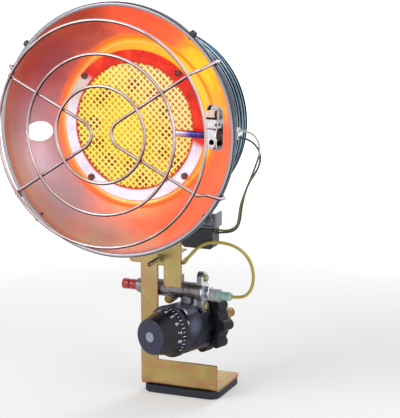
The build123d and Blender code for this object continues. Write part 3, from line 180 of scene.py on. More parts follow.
def objectPlace(tree, stretch=(1, 1, 1)):
    mapping = tree.nodes.new("ShaderNodeMapping")
    mapping.inputs["Scale"].default_value = stretch
    tree.links.new(objectCoords(tree), mapping.inputs["Vector"])
    return mapping.outputs[0]


def span(tree, place, way):
    # how far a place lies along a direction, in millimetres
    return vectors(tree, "DOT_PRODUCT", place, way * 1000)


def facing(tree, way):
    # 1 where the surface looks along a direction, -1 where it looks away from it
    surface = tree.nodes.new("ShaderNodeNewGeometry")
    return vectors(tree, "DOT_PRODUCT", surface.outputs["Normal"], way)


def noise(tree, place, size, detail=3.0, rough=0.55, twist=0.0):
    # patches of a size in millimetres, in grey from 0 to 1
    node = tree.nodes.new("ShaderNodeTexNoise")
    node.inputs["Scale"].default_value = 1000 / size
    node.inputs["Detail"].default_value = detail
    node.inputs["Roughness"].default_value = rough
    node.inputs["Distortion"].default_value = twist
    tree.links.new(place, node.inputs["Vector"])
    return node.outputs[0]


def fade(tree, value, low, high, start=0.0, end=1.0):
    node = tree.nodes.new("ShaderNodeMapRange")
    node.interpolation_type = "SMOOTHSTEP"
    feed(tree, node.inputs["Value"], value)
    node.inputs["From Min"].default_value = low
    node.inputs["From Max"].default_value = high
    node.inputs["To Min"].default_value = start
    node.inputs["To Max"].default_value = end
    return node.outputs[0]


def fadeOut(tree, value, low, high):
    return fade(tree, value, low, high, 1.0, 0.0)


def strip(tree, value, low, rise, fall, high):
    # 1 between rise and fall, 0 below low and above high
    return times(tree, fade(tree, value, low, rise), fadeOut(tree, value, fall, high))


def vary(tree, patches, ends):
    # a value that goes from one end to the other as a noise does
    return fade(tree, patches, *noiseRange, *ends)


def ramp(tree, value, stops):
    node = tree.nodes.new("ShaderNodeValToRGB")
    band = node.color_ramp
    while len(band.elements) < len(stops):
        band.elements.new(0.5)
    for element, (position, colour) in zip(band.elements, stops):
        element.position = position
        element.color = colour
    feed(tree, node.inputs[0], value)
    return node.outputs[0]


def tones(tree, value, colours, places=()):
    # screen colours, spread evenly over the middle of a noise where no places are given
    low, high = noiseRange
    places = places or [low + (high - low) * k / (len(colours) - 1) for k in range(len(colours))]
    return ramp(tree, value, [(place, tint(*colour)) for place, colour in zip(places, colours)])


def blend(tree, share, first, second):
    node = tree.nodes.new("ShaderNodeMix")
    node.data_type = "RGBA"
    feed(tree, node.inputs["Factor"], share)
    feed(tree, node.inputs[6], first)
    feed(tree, node.inputs[7], second)
    return node.outputs[2]


def wash(tree, colour, share, tone, strength=None):
    # a screen colour laid over a colour where share is 1, at less than full strength if one is given
    if strength:
        share = times(tree, share, strength)
    return blend(tree, share, colour, tint(*tone))


def bump(tree, height, depth, after=None):
    # depth in millimetres for a height that runs from 0 to 1
    node = tree.nodes.new("ShaderNodeBump")
    node.inputs["Distance"].default_value = depth / 1000
    feed(tree, node.inputs["Height"], height)
    if after:
        tree.links.new(after, node.inputs["Normal"])
    return node.outputs[0]


def edges(tree, width):
    # 1 on edges and corners, found by the rounding that a bevel would give
    bevel = tree.nodes.new("ShaderNodeBevel")
    bevel.samples = 4
    bevel.inputs["Radius"].default_value = width / 1000
    flat = tree.nodes.new("ShaderNodeNewGeometry")
    turn = vectors(tree, "DOT_PRODUCT", bevel.outputs[0], flat.outputs["Normal"])
    return fadeOut(tree, turn, 0.9, 0.99)


def rubbedEdges(tree, width, grain, reach=wornRange):
    # the edges where a grain lets them through
    return times(tree, edges(tree, width), fade(tree, grain, *reach))


def dishPlace(tree):
    # across, rise, depth and radius from the dish's axis, in millimetres
    local = vectors(tree, "SUBTRACT", objectCoords(tree), rimCentre)
    across, rise, depth = (span(tree, local, way) for way in (right, dishUp, -dishForward))
    return SimpleNamespace(across=across, rise=rise, depth=depth, radius=hypotenuse(tree, across, rise))


def distance(tree, across, rise, centre):
    return hypotenuse(tree, minus(tree, across, centre[0]), minus(tree, rise, centre[1]))


def spot(tree, across, rise, centre, inner, outer):
    # 1 within the inner radius of a place and 0 outside the outer one
    return fadeOut(tree, distance(tree, across, rise, centre), inner, outer)


def dress(finish, *names):
    for name in names:
        for place in parts[name].material_slots:
            place.material = finish


def addPiece(name, shape, body, finish, stands=()):
    piece = bpy.data.objects.new(name, shape)
    bpy.context.scene.collection.objects.link(piece)
    shape.materials.append(finish)
    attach(piece, body)
    if stands:
        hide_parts(*stands)
    return piece


# plain finishes: screen colours, sizes in millimetres, and the parts that wear them
wornEdge = 0.5
metal = {"Metallic": 1.0}
lowGloss = {"Specular IOR Level": 0.25}
plainLooks = {
    "brightScrew": {
        "tones": ((52, 48, 50), (92, 88, 90)), "patch": 3, "grain": 0.5, "rough": (0.25, 0.42),
        "relief": 0.03, "worn": (200, 198, 196), "shader": metal, "on": ("rim_screws",)},
    # burner screws: dark red-brown, their pale worn edges partly wear and partly a painted highlight
    "burnerScrew": {
        "tones": ((84, 44, 44), (124, 82, 80)), "patch": 2, "grain": 0.5, "rough": (0.16, 0.3),
        "relief": 0.03, "worn": (196, 150, 148), "shader": metal, "on": ("burner_screws",)},
    "burnerCase": {
        "tones": ((74, 60, 66), (96, 78, 60), (70, 76, 96)), "patch": 22, "grain": 0.7,
        "rough": (0.4, 0.6), "relief": 0.05, "specks": (48, 40, 40), "shader": metal,
        "on": ("burner_housing", "inner_baffle")},
    "zincScrew": {
        "tones": ((118, 112, 76), (166, 158, 104), (150, 140, 112)), "patch": 4, "grain": 0.4,
        "rough": (0.28, 0.45), "relief": 0.03, "worn": (220, 208, 176), "shader": metal,
        "on": ("frame_screws", "clamp_nut", "valve_screws", "plate_screws")},
    "boltMetal": {
        "tones": ((84, 60, 42), (122, 92, 64)), "patch": 4, "grain": 0.4, "rough": (0.3, 0.46),
        "relief": 0.02, "worn": (206, 178, 136), "shader": metal, "on": ("clamp_bolt",)},
    "blackRubber": {
        "tones": ((24, 26, 36), (40, 44, 58)), "patch": 9, "grain": 0.5, "rough": (0.6, 0.85),
        "relief": 0.09, "specks": (56, 58, 66), "worn": (60, 62, 70),
        "on": ("foot_pad", "nose_seal", "diaphragm")},
    "tubeMetal": {
        "tones": ((128, 126, 124), (158, 156, 152)), "patch": 12, "grain": 0.6, "rough": (0.3, 0.48),
        "relief": 0.03, "specks": (110, 108, 108), "shader": metal, "on": ("mixing_tube",)},
    "brass": {
        "tones": ((112, 88, 54), (150, 122, 76)), "patch": 5, "grain": 0.35, "rough": (0.3, 0.46),
        "relief": 0.02, "specks": (92, 70, 42), "worn": (206, 180, 124), "shader": metal,
        "on": ("gas_jet", "inlet_nipple", "test_plug")},
    "greyMetal": {
        "tones": ((118, 118, 120), (152, 152, 154)), "patch": 6, "grain": 0.35, "rough": (0.28, 0.45),
        "relief": 0.02, "worn": (205, 205, 205), "shader": metal,
        "on": ("burner_standoffs", "shield_standoffs", "button_collar", "knob_stem", "pendulum_pin",
               "tilt_pendulum", "spring_seat")},
    "sensorPlate": {
        "tones": ((168, 174, 186), (206, 210, 216)), "patch": 5, "grain": 0.5, "rough": (0.22, 0.4),
        "relief": 0.02, "specks": (130, 132, 140), "worn": (232, 232, 236), "shader": metal,
        "on": ("lead_clip",)},
    "ceramic": {
        "tones": ((240, 240, 228), (252, 252, 246)), "patch": 3, "grain": 0.35, "rough": (0.55, 0.75),
        "relief": 0.05, "specks": (190, 176, 140), "on": ("lead_insulator",)},
    "switchPlate": {
        "tones": ((96, 100, 106), (124, 128, 134)), "patch": 8, "grain": 0.5, "rough": (0.35, 0.5),
        "relief": 0.03, "specks": (78, 80, 86), "worn": (170, 174, 180), "shader": metal,
        "on": ("switch_bracket", "switch_rivets")},
    "blackPlastic": {
        "tones": ((27, 27, 33), (42, 42, 50)), "patch": 10, "grain": 0.35, "rough": (0.38, 0.55),
        "relief": 0.03, "worn": (72, 72, 80), "on": ("tip_switch_box", "tip_switch_cover")},
    "valveCast": {
        "tones": ((104, 101, 106), (140, 135, 138), (118, 114, 118)), "patch": 8, "grain": 0.7,
        "rough": (0.34, 0.5), "relief": 0.08, "specks": (66, 64, 70), "worn": (176, 174, 178),
        "shader": metal, "on": ("valve_body",)},
    "dialMarks": {
        "tones": ((232, 234, 238), (248, 248, 250)), "patch": 2, "grain": 0.3, "rough": (0.45, 0.6),
        "relief": 0.01},
    "nickel": {
        "tones": ((186, 192, 200), (226, 230, 236)), "patch": 4, "grain": 0.4, "rough": (0.2, 0.36),
        "relief": 0.015, "specks": (134, 138, 146), "worn": (236, 236, 240), "shader": metal,
        "on": ("magnet_plate", "magnet_unit")},
    "greenSleeve": {
        "tones": ((132, 180, 168), (170, 208, 198)), "patch": 4, "grain": 0.4, "rough": (0.35, 0.5),
        "relief": 0.03, "on": ("lead_boot",)},
    "yellowLead": {
        "tones": ((176, 156, 62), (204, 184, 84)), "patch": 9, "grain": 0.4, "rough": (0.3, 0.42),
        "relief": 0.02, "specks": (150, 132, 52)},
    "darkLead": {
        "tones": ((66, 64, 54), (92, 88, 74)), "patch": 8, "grain": 0.4, "rough": (0.4, 0.55),
        "relief": 0.02, "specks": (50, 48, 44)},
    "redButton": {
        "tones": ((176, 22, 32), (206, 34, 44)), "patch": 4, "grain": 0.35, "rough": (0.18, 0.3),
        "relief": 0.015, "worn": (226, 92, 96), "shader": {"Coat Weight": 0.4},
        "on": ("reset_button",)},
    "springSteel": {
        "tones": ((120, 120, 124), (156, 156, 160)), "patch": 3, "grain": 0.3, "rough": (0.25, 0.4),
        "relief": 0.01, "shader": metal},
    "wheelPlastic": {
        "tones": ((24, 24, 30), (40, 40, 48)), "patch": 9, "grain": 0.4, "rough": (0.4, 0.58),
        "relief": 0.04, "specks": (52, 52, 60), "worn": (74, 74, 84), "shader": lowGloss,
        "on": ("handwheel",)},
    "capPlastic": {
        "tones": ((142, 144, 158), (166, 168, 180)), "patch": 3, "grain": 0.3, "rough": (0.35, 0.5),
        "relief": 0.02, "shader": lowGloss, "on": ("knob_cap",)},
    "clampSteel": {
        "tones": ((34, 28, 30), (70, 58, 58)), "patch": 2, "grain": 0.3, "rough": (0.3, 0.5),
        "relief": 0.03, "shader": metal},
}


def plainFinish(name, look):
    # a finish whose colour drifts in patches, with a fine grain, specks and worn edges
    finish, tree, shader = newFinish(name)
    place = objectPlace(tree)
    patches = noise(tree, place, look["patch"], detail=4.0, rough=0.6, twist=0.4)
    grain = noise(tree, place, look["grain"], rough=0.6)
    colour = tones(tree, patches, look["tones"])
    if "specks" in look:
        colour = wash(tree, colour, fade(tree, grain, *speckRange), look["specks"])
    if "worn" in look:
        colour = wash(tree, colour, rubbedEdges(tree, wornEdge, grain), look["worn"])
    cover(tree, shader, colour, vary(tree, patches, look["rough"]), bump(tree, grain, look["relief"]))
    for socket, value in look.get("shader", {}).items():
        shader.inputs[socket].default_value = value
    return finish


plain = {}
for name, look in plainLooks.items():
    plain[name] = plainFinish(name, look)
    dress(plain[name], *look.get("on", ()))
print("plain finishes made")


# burner: wire mesh, with its glow on the wires and between them. A noise is given by its patch in
# millimetres and then its detail, roughness and twist, here and in the finishes below
burnerGlow = {"strength": 0.85, "darkening": 0.75}
cells = {
    # screen colours with their strength, and where each fades in, in millimetres in the dish
    "heat": ((184, 122, 32), (212, 152, 42), (234, 184, 56)), "patches": (24, 3.0, 0.6, 0.4),
    "right": ((224, 116, 40), 0.65), "rightFrom": (-10.0, 50.0),
    "centre": ((242, 204, 70), 0.5), "centreAt": ((-14, 2), 6.0, 34.0),
    "left": ((158, 118, 46), 0.65), "leftFrom": (-38.0, -54.0),
    "rim": (190, 48, 22), "rimFrom": (51.5, 55.0),
    # darker groups of holes, each ragged at its edge
    "dark": ((158, 46, 18), 0.9), "darkFrom": (7.4, 9.4), "raggedPatches": (3.0, 2.0), "ragged": 5.0,
    "groups": ((-34, 20), (-27, 26), (-2, 35), (16, 27), (29, 14), (-38, 0), (-35, -17), (-23, -32),
               (-4, -36), (27, -22), (30, -4), (8, -47), (40, -30)),
    "grain": 0.8, "relief": 0.05, "rough": 0.8,
}


def coverGlowing(tree, shader, colour, rough, relief):
    # light of its own over a darker base
    base = blend(tree, burnerGlow["darkening"], colour, tint(0, 0, 0))
    cover(tree, shader, base, rough, relief)
    glow(tree, shader, colour, burnerGlow["strength"])


def glowingCells():
    # what shows between the mesh's wires
    finish, tree, shader = newFinish("glowingMesh")
    dish, place = dishPlace(tree), objectPlace(tree)
    colour = tones(tree, noise(tree, place, *cells["patches"]), cells["heat"])
    colour = wash(tree, colour, fade(tree, dish.across, *cells["rightFrom"]), *cells["right"])
    colour = wash(tree, colour, spot(tree, dish.across, dish.rise, *cells["centreAt"]), *cells["centre"])
    colour = wash(tree, colour, fade(tree, dish.across, *cells["leftFrom"]), *cells["left"])
    ragged = times(tree, noise(tree, place, *cells["raggedPatches"]), cells["ragged"])
    tone, strength = cells["dark"]
    for middle in cells["groups"]:
        away = plus(tree, distance(tree, dish.across, dish.rise, middle), ragged)
        colour = wash(tree, colour, fade(tree, away, *cells["darkFrom"], strength, 0.0), tone)
    colour = wash(tree, colour, fade(tree, dish.radius, *cells["rimFrom"]), cells["rim"])
    relief = bump(tree, noise(tree, place, cells["grain"]), cells["relief"])
    coverGlowing(tree, shader, colour, cells["rough"], relief)
    return finish


wires = {
    "heat": ((250, 230, 92), (252, 238, 114), (254, 246, 150)), "heatAt": (0.3, 0.55, 0.75),
    "patches": (20, 2.0), "grain": 0.5, "relief": 0.03, "rough": 0.6,
    "upperRight": ((255, 246, 200), 0.75), "upperFrom": (0.0, 70.0),
    "lowerRight": ((255, 236, 150), 0.5), "lowerFrom": (30.0, 80.0),
    "rim": (226, 104, 44), "rimFrom": (52.5, 55.0, 0.0, 0.7),
}


def glowingWire():
    finish, tree, shader = newFinish("glowingWire")
    dish, place = dishPlace(tree), objectPlace(tree)
    colour = tones(tree, noise(tree, place, *wires["patches"]), wires["heat"], wires["heatAt"])
    upperRight = fade(tree, plus(tree, dish.across, dish.rise), *wires["upperFrom"])
    colour = wash(tree, colour, upperRight, *wires["upperRight"])
    lowerRight = fade(tree, minus(tree, dish.across, dish.rise), *wires["lowerFrom"])
    colour = wash(tree, colour, lowerRight, *wires["lowerRight"])
    colour = wash(tree, colour, fade(tree, dish.radius, *wires["rimFrom"]), wires["rim"])
    relief = bump(tree, noise(tree, place, wires["grain"]), wires["relief"])
    coverGlowing(tree, shader, colour, wires["rough"], relief)
    return finish


def tubeAlong(grid, points, radius, sides):
    # a bent round wire through points, added to an open bmesh
    rings = []
    reference = Vector((0.3, 0.2, 1)).normalized()     # any direction that no wire starts along
    for i, point in enumerate(points):
        ahead = points[min(i + 1, len(points) - 1)]
        behind = points[max(i - 1, 0)]
        run = (ahead - behind).normalized()
        aside = (reference - run * reference.dot(run)).normalized()
        reference = aside
        other = run.cross(aside)
        ring = []
        for k in range(sides):
            turn = 2 * pi * k / sides
            ring.append(grid.verts.new(point + (aside * cos(turn) + other * sin(turn)) * radius))
        rings.append(ring)
    for first, second in zip(rings, rings[1:]):
        for k in range(sides):
            corners = (first[k], first[(k + 1) % sides], second[(k + 1) % sides], second[k])
            grid.faces.new(corners).smooth = True
    grid.faces.new(rings[0][::-1])
    grid.faces.new(rings[-1])


def finishMesh(name, grid, smooth=False):
    bmesh.ops.recalc_face_normals(grid, faces=grid.faces)
    if smooth:
        for face in grid.faces:
            face.smooth = True
    mesh = bpy.data.meshes.new(name)
    grid.to_mesh(mesh)
    grid.free()
    return mesh


weave = {
    "pitch": 4.2, "wire": 0.7, "sway": 0.32, "radius": 54.6, "depth": 41.0, "turn": 45.0, "sides": 6,
    "steps": 4, "shortest": 2,      # points in a pitch, and the fewest from the middle of a wire to its end
}


def weaveWires():
    # wires over and under each other, cut to the round opening of the ring
    pitch, turn, edge = weave["pitch"], radians(weave["turn"]), weave["radius"]
    grid = bmesh.new()
    count = int(edge / pitch)
    for way in (0, 1):
        for line in range(-count, count + 1):
            offset = line * pitch
            half = sqrt(max(edge * edge - offset * offset, 0))
            steps = int(half / pitch * weave["steps"])
            if steps < weave["shortest"]:
                continue
            points = []
            for step in range(-steps, steps + 1):
                along = min(max(step * pitch / weave["steps"], -half), half)
                sway = weave["sway"] * cos(pi * (along / pitch + line + way))
                u, v = (along, offset) if way == 0 else (offset, along)
                across = u * cos(turn) - v * sin(turn)
                rise = u * sin(turn) + v * cos(turn)
                points.append(dishPoint(across, rise, weave["depth"] + sway))
            tubeAlong(grid, points, weave["wire"] / 1000, weave["sides"])
    return finishMesh("burnerWeave", grid)


dress(glowingCells(), "outer_mesh")
addPiece("burnerWeave", weaveWires(), "heater", glowingWire())
print("burner mesh woven")


# bowl of the reflector: painted reflections, orange of the burner's glow and lilac grey of the
# surroundings, with a painted glow; places in millimetres across and up in the dish
bowl = {
    "base": ((228, 100, 64), (238, 110, 72)), "drift": 36.0,
    "clouds": (30, 4.0, 0.6, 0.7), "ripples": (9, 3.0, 0.6, 0.4), "rippleDepth": 0.06,
    # each patch: its middle, where it begins to fade, where it ends, its colour
    "coolReflections": (
        ((-122, 4), 26, 92, (164, 120, 132)), ((-84, 66), 14, 66, (162, 74, 80)),
        ((-92, -48), 8, 58, (184, 156, 168)), ((-66, -80), 8, 50, (176, 148, 154)),
        ((-26, -108), 4, 46, (188, 162, 156)), ((-40, 96), 4, 46, (178, 80, 76))),
    "warmReflections": (
        ((12, 104), 4, 52, (226, 92, 68)), ((78, 84), 4, 40, (246, 128, 60)),
        ((64, 44), 16, 44, (255, 204, 46)), ((80, 26), 6, 26, (252, 172, 60)),
        ((100, 40), 4, 22, (246, 134, 68)), ((84, -56), 6, 46, (230, 108, 78)),
        ((26, -104), 4, 34, (222, 124, 96)), ((4, -114), 4, 30, (180, 150, 138)),
        ((34, -110), 4, 26, (192, 146, 128)), ((62, -92), 2, 20, (214, 122, 98))),
    # a band of painted reflection of the glow round the burner's ring, with a darker strip at a pressed
    # step and a painted highlight outside it, from the band's end
    "bandEnd": 75.0, "bandMore": 6.0, "moreFrom": (-20.0, 90.0), "bandFrom": (-5.0, 0.0),
    "bandTones": ((240, 116, 44), (255, 186, 40)), "bandStrength": 0.85,
    "step": ((216, 78, 34), 0.55), "stepStrip": (-6.0, -4.0, -4.0, -1.0),
    "pressed": (-7.0, -3.0), "pressedDepth": 0.8,
    "gleam": ((255, 196, 112), 0.5), "gleamStrip": (-9.5, -8.0, -8.0, -6.5),
    # plain sheet on the lip, painted lighter there as a highlight, the flange and the outside, by radius
    # and by depth
    "sheet": ((118, 120, 128), (150, 152, 160)),
    "lip": (164, 160, 168), "lipEnd": (106.8, 107.4), "lipDepth": (1.6, 1.2),
    "flange": (66, 68, 78), "flangeFrom": (107.2, 107.8), "flangeDepth": (6.4, 6.0),
    # the inside, all painted reflection: a pinker hem along the rim and a painted highlight round the
    # sensor's slot
    "inside": (0.12, 0.3), "insideEnd": (104.8, 104.3), "hem": ((190, 96, 106), 0.5),
    "hemFrom": (102.4, 103.6), "slotHighlight": (184, 136, 160),
    "metal": (0.95, 0.6), "glow": (0.12, 0.46), "rough": (0.28, 0.42),
}
sensorSlot = {"middle": (77.0, 4.2), "size": (19.0, 37.0), "corner": 5.0, "edge": (0.39, 1.3, 0.8, 0.0)}


def slotEdge(tree, dish):
    # strong at the rim of the sensor's slot, where a painted highlight goes, 0 a little outside it
    over = []
    for value, middle, size in zip((dish.across, dish.rise), sensorSlot["middle"], sensorSlot["size"]):
        aside = maths(tree, "ABSOLUTE", minus(tree, value, middle))
        over.append(maths(tree, "MAXIMUM", minus(tree, aside, size / 2 - sensorSlot["corner"]), 0.0))
    return fade(tree, minus(tree, hypotenuse(tree, *over), sensorSlot["corner"]), *sensorSlot["edge"])


def plainSheet(tree, dish, cloud):
    # the bare metal of the lip, with a painted highlight, the flange and the outside
    sheet = tones(tree, cloud, bowl["sheet"])
    # a painted highlight along the lip
    lip = fadeOut(tree, dish.radius, *bowl["lipEnd"])
    lip = times(tree, lip, fade(tree, dish.depth, *bowl["lipDepth"]))
    sheet = wash(tree, sheet, lip, bowl["lip"])
    flange = fade(tree, dish.radius, *bowl["flangeFrom"])
    flange = times(tree, flange, fade(tree, dish.depth, *bowl["flangeDepth"]))
    return wash(tree, sheet, flange, bowl["flange"])


def bowlFinish():
    finish, tree, shader = newFinish("brightBowl")
    dish, place = dishPlace(tree), objectPlace(tree)
    cloud = noise(tree, place, *bowl["clouds"])
    ripple = noise(tree, place, *bowl["ripples"])
    drift = times(tree, minus(tree, cloud, 0.5), bowl["drift"])
    across, rise = plus(tree, dish.across, drift), minus(tree, dish.rise, drift)
    colour = tones(tree, ripple, bowl["base"])
    paintedGlow = 1.0
    # painted reflections: lilac grey patches, then orange patches of the glow
    for centre, inner, outer, tone in bowl["coolReflections"]:
        share = spot(tree, across, rise, centre, inner, outer)
        colour = wash(tree, colour, share, tone)
        paintedGlow = times(tree, paintedGlow, minus(tree, 1.0, share))
    for centre, inner, outer, tone in bowl["warmReflections"]:
        colour = wash(tree, colour, spot(tree, across, rise, centre, inner, outer), tone)
    # the painted band of reflected glow is widest at the top right
    upperRight = fade(tree, plus(tree, dish.across, dish.rise), *bowl["moreFrom"])
    bandEnd = plus(tree, bowl["bandEnd"], times(tree, upperRight, bowl["bandMore"]))
    past = minus(tree, dish.radius, bandEnd)
    band = fadeOut(tree, past, *bowl["bandFrom"])
    bandColour = blend(tree, upperRight, *(tint(*tone) for tone in bowl["bandTones"]))
    colour = blend(tree, times(tree, band, bowl["bandStrength"]), colour, bandColour)
    paintedGlow = maths(tree, "MAXIMUM", paintedGlow, band)
    colour = wash(tree, colour, strip(tree, past, *bowl["stepStrip"]), *bowl["step"])
    colour = wash(tree, colour, strip(tree, past, *bowl["gleamStrip"]), *bowl["gleam"])
    colour = wash(tree, colour, fade(tree, dish.radius, *bowl["hemFrom"]), *bowl["hem"])
    # a painted lilac highlight round the sensor's slot
    colour = wash(tree, colour, slotEdge(tree, dish), bowl["slotHighlight"])
    # only the inside gets the painted reflection and the painted glow of the burner
    inside = fade(tree, facing(tree, dishForward), *bowl["inside"])
    inside = times(tree, inside, fade(tree, dish.radius, *bowl["insideEnd"]))
    colour = blend(tree, inside, plainSheet(tree, dish, cloud), colour)
    pressed = bump(tree, fade(tree, past, *bowl["pressed"]), bowl["pressedDepth"])
    relief = bump(tree, ripple, bowl["rippleDepth"], pressed)
    cover(tree, shader, colour, vary(tree, ripple, bowl["rough"]), relief,
          fade(tree, inside, 0.0, 1.0, *bowl["metal"]))
    # painted glow, strongest where the painted reflection is orange
    glow(tree, shader, colour, times(tree, inside, fade(tree, paintedGlow, 0.0, 1.0, *bowl["glow"])))
    return finish


# ring round the burner: painted reflections, lilac white at the left and below and deep red of the glow
# over the top and on the right, with a painted glow on the red
ring = {
    "pale": ((214, 202, 214), (238, 232, 242)), "red": ((178, 28, 22), (204, 40, 26), (222, 66, 40)),
    "beige": ((206, 178, 164), 0.8), "beigeAt": ((-52, 30), 8.0, 22.0),
    "lean": 0.5, "ragged": 6.0, "redFrom": (15.0, 24.0),
    "lip": ((196, 46, 26), 0.85), "lipEnd": (55.2, 56.8), "clouds": (18, 4.0, 0.6, 0.5),
    "grain": 1.2, "relief": 0.03, "rough": (0.22, 0.36), "metal": 0.6, "glow": (0.2, 0.4),
}


def ringFinish():
    finish, tree, shader = newFinish("brightRing")
    dish, place = dishPlace(tree), objectPlace(tree)
    cloud = noise(tree, place, *ring["clouds"])
    pale = tones(tree, cloud, ring["pale"])
    # a painted beige shade at the upper left
    pale = wash(tree, pale, spot(tree, dish.across, dish.rise, *ring["beigeAt"]), *ring["beige"])
    lean = plus(tree, dish.rise, times(tree, dish.across, ring["lean"]))
    share = fade(tree, plus(tree, lean, times(tree, cloud, ring["ragged"])), *ring["redFrom"])
    colour = blend(tree, share, pale, tones(tree, cloud, ring["red"]))
    # a painted red reflection along the ring's inner edge
    colour = wash(tree, colour, fadeOut(tree, dish.radius, *ring["lipEnd"]), *ring["lip"])
    relief = bump(tree, noise(tree, place, ring["grain"]), ring["relief"])
    cover(tree, shader, colour, vary(tree, cloud, ring["rough"]), relief, ring["metal"])
    # painted glow on the red
    glow(tree, shader, colour, fade(tree, share, 0.0, 1.0, *ring["glow"]))
    return finish


# rear shield: a ribbed skirt painted in bands of navy, pale blue and grey-green as reflection and shade on
# its ribs, a plain dome behind it, and a pale inside with a painted glow
shield = {
    "ribs": ((10, 16, 30), (30, 42, 60), (58, 76, 88), (98, 124, 138), (178, 196, 206)),
    "ribsAt": (0.0, 0.5, 0.7, 0.88, 1.0), "pitch": 5.5, "ribDepth": 0.25, "ragged": 0.6,
    "stripes": (-0.8, 1.3), "dome": ((150, 154, 158), (184, 187, 190)), "domeFrom": (101.0, 103.0),
    "inside": (206, 204, 206), "insideEnd": (-0.6, -0.2), "light": (236, 226, 220),
    "lit": (60.0, 80.0, 0.5, 0.1), "grazing": (0.34, 0.39, 0.43, 1),
    "clouds": 20, "grain": 0.8, "relief": 0.03, "rough": (0.2, 0.36),
}


def shieldFinish():
    finish, tree, shader = newFinish("brightShield")
    dish, place = dishPlace(tree), objectPlace(tree)
    wave = maths(tree, "SINE", times(tree, dish.depth, 2 * pi / shield["pitch"]))
    cloud = noise(tree, place, shield["clouds"])
    # painted reflection and shade in bands that follow the ribs
    stripes = fade(tree, plus(tree, wave, times(tree, cloud, shield["ragged"])), *shield["stripes"])
    onRibs = fadeOut(tree, dish.depth, *shield["domeFrom"])
    outside = blend(tree, onRibs, tones(tree, cloud, shield["dome"]),
                    tones(tree, stripes, shield["ribs"], shield["ribsAt"]))
    # the inside looks towards the dish's axis; it is painted pale, with a painted glow near the burner
    sideways = times(tree, facing(tree, right), dish.across)
    upwards = times(tree, facing(tree, dishUp), dish.rise)
    outward = maths(tree, "DIVIDE", plus(tree, sideways, upwards), dish.radius)
    inside = fadeOut(tree, outward, *shield["insideEnd"])
    grain = bump(tree, noise(tree, place, shield["grain"]), shield["relief"])
    relief = bump(tree, times(tree, wave, onRibs), shield["ribDepth"], grain)
    colour = wash(tree, outside, inside, shield["inside"])
    cover(tree, shader, colour, vary(tree, cloud, shield["rough"]), relief, 1.0)
    glow(tree, shader, tint(*shield["light"]), times(tree, inside, fade(tree, dish.depth, *shield["lit"])))
    shader.inputs["Specular Tint"].default_value = shield["grazing"]
    return finish


# guard: bright wire with a painted highlight on top and painted shade and reflection, dark brown, on its
# underside, with a weld where two wires cross
guard = {
    # millimetres from the rim's plane and the dish's axis, and degrees for the arms and the turn
    "forward": 28.0, "wire": 1.4, "rings": (94.7, 67.0, 40.5), "apex": -2.8, "arm": 30.0, "turn": 4.0,
    "weld": 1.5, "weldShape": (1.0, 1.25, 0.8, 1.0), "bright": ((186, 164, 166), (214, 198, 202)),
    "brown": ((58, 34, 36), (92, 58, 58)), "underShadeEnd": (-0.2, 0.3), "ragged": 0.16,
    "clouds": 16, "grain": 0.6, "relief": 0.012, "rough": (0.2, 0.36),
}


def guardFinish():
    finish, tree, shader = newFinish("guardWire")
    place = objectPlace(tree)
    cloud = noise(tree, place, guard["clouds"])
    # painted highlight on the upper side, painted dark brown shade on the underside
    above = plus(tree, facing(tree, up), times(tree, cloud, guard["ragged"]))
    colour = blend(tree, fadeOut(tree, above, *guard["underShadeEnd"]), tones(tree, cloud, guard["bright"]),
                   tones(tree, cloud, guard["brown"]))
    relief = bump(tree, noise(tree, place, guard["grain"]), guard["relief"])
    cover(tree, shader, colour, vary(tree, cloud, guard["rough"]), relief, 1.0)
    return finish


def addBall(grid, middle, radius, shape):
    # a ball with a radius in millimetres, stretched along the axes, added to an open bmesh
    bmesh.ops.create_icosphere(grid, subdivisions=2, radius=radius / 1000,
                               matrix=Matrix.Translation(middle) @ Matrix.Diagonal(shape))


def guardWelds():
    grid = bmesh.new()
    arm, turn = radians(guard["arm"]), radians(guard["turn"])
    start, depth = guard["apex"], guard["wire"] - guard["forward"]
    for side in (-1, 1):
        for half in (-1, 1):
            for radius in guard["rings"]:
                run = sqrt(radius ** 2 - (start * sin(arm)) ** 2) - start * cos(arm)
                x, z = side * (start + run * cos(arm)), half * run * sin(arm)
                middle = dishPoint(x * cos(turn) - z * sin(turn), x * sin(turn) + z * cos(turn), depth)
                addBall(grid, middle, guard["weld"], guard["weldShape"])
    return finishMesh("guardWelds", grid, smooth=True)


# bracket: yellow zinc, olive straw that drifts to pink and copper near its edges and on the foot
zinc = {
    "sheet": ((150, 138, 88), (182, 160, 98), (194, 166, 112), (190, 142, 108), (168, 152, 100)),
    "sheetAt": (0.28, 0.42, 0.52, 0.6, 0.7), "olive": (158, 146, 100), "oliveShare": (0.55, 0.0),
    "copper": (186, 126, 96), "copperShare": (0.18, 0.8), "copperFrom": (0.42, 0.66),
    "footEnd": (-40.0, -26.0), "hem": (168, 104, 78), "hemWidth": 2.4, "hemShare": (0.3, 0.6, 0.2, 0.5),
    "scuff": (120, 100, 66), "scuffShare": (0.6, 0.75, 0.0, 0.4),
    "edge": ((116, 70, 50), 0.75), "edgeWidth": 0.5,
    # each noise with the stretch of its place
    "patches": ((1, 1, 0.7), (46, 2.5, 0.5, 0.5)), "streaks": ((0.35, 0.35, 1), (11, 3.0, 0.55, 0.3)),
    "scuffs": ((0.2, 1, 1), (1.1, 4.0, 0.7)), "relief": 0.02, "rough": (0.26, 0.44),
}


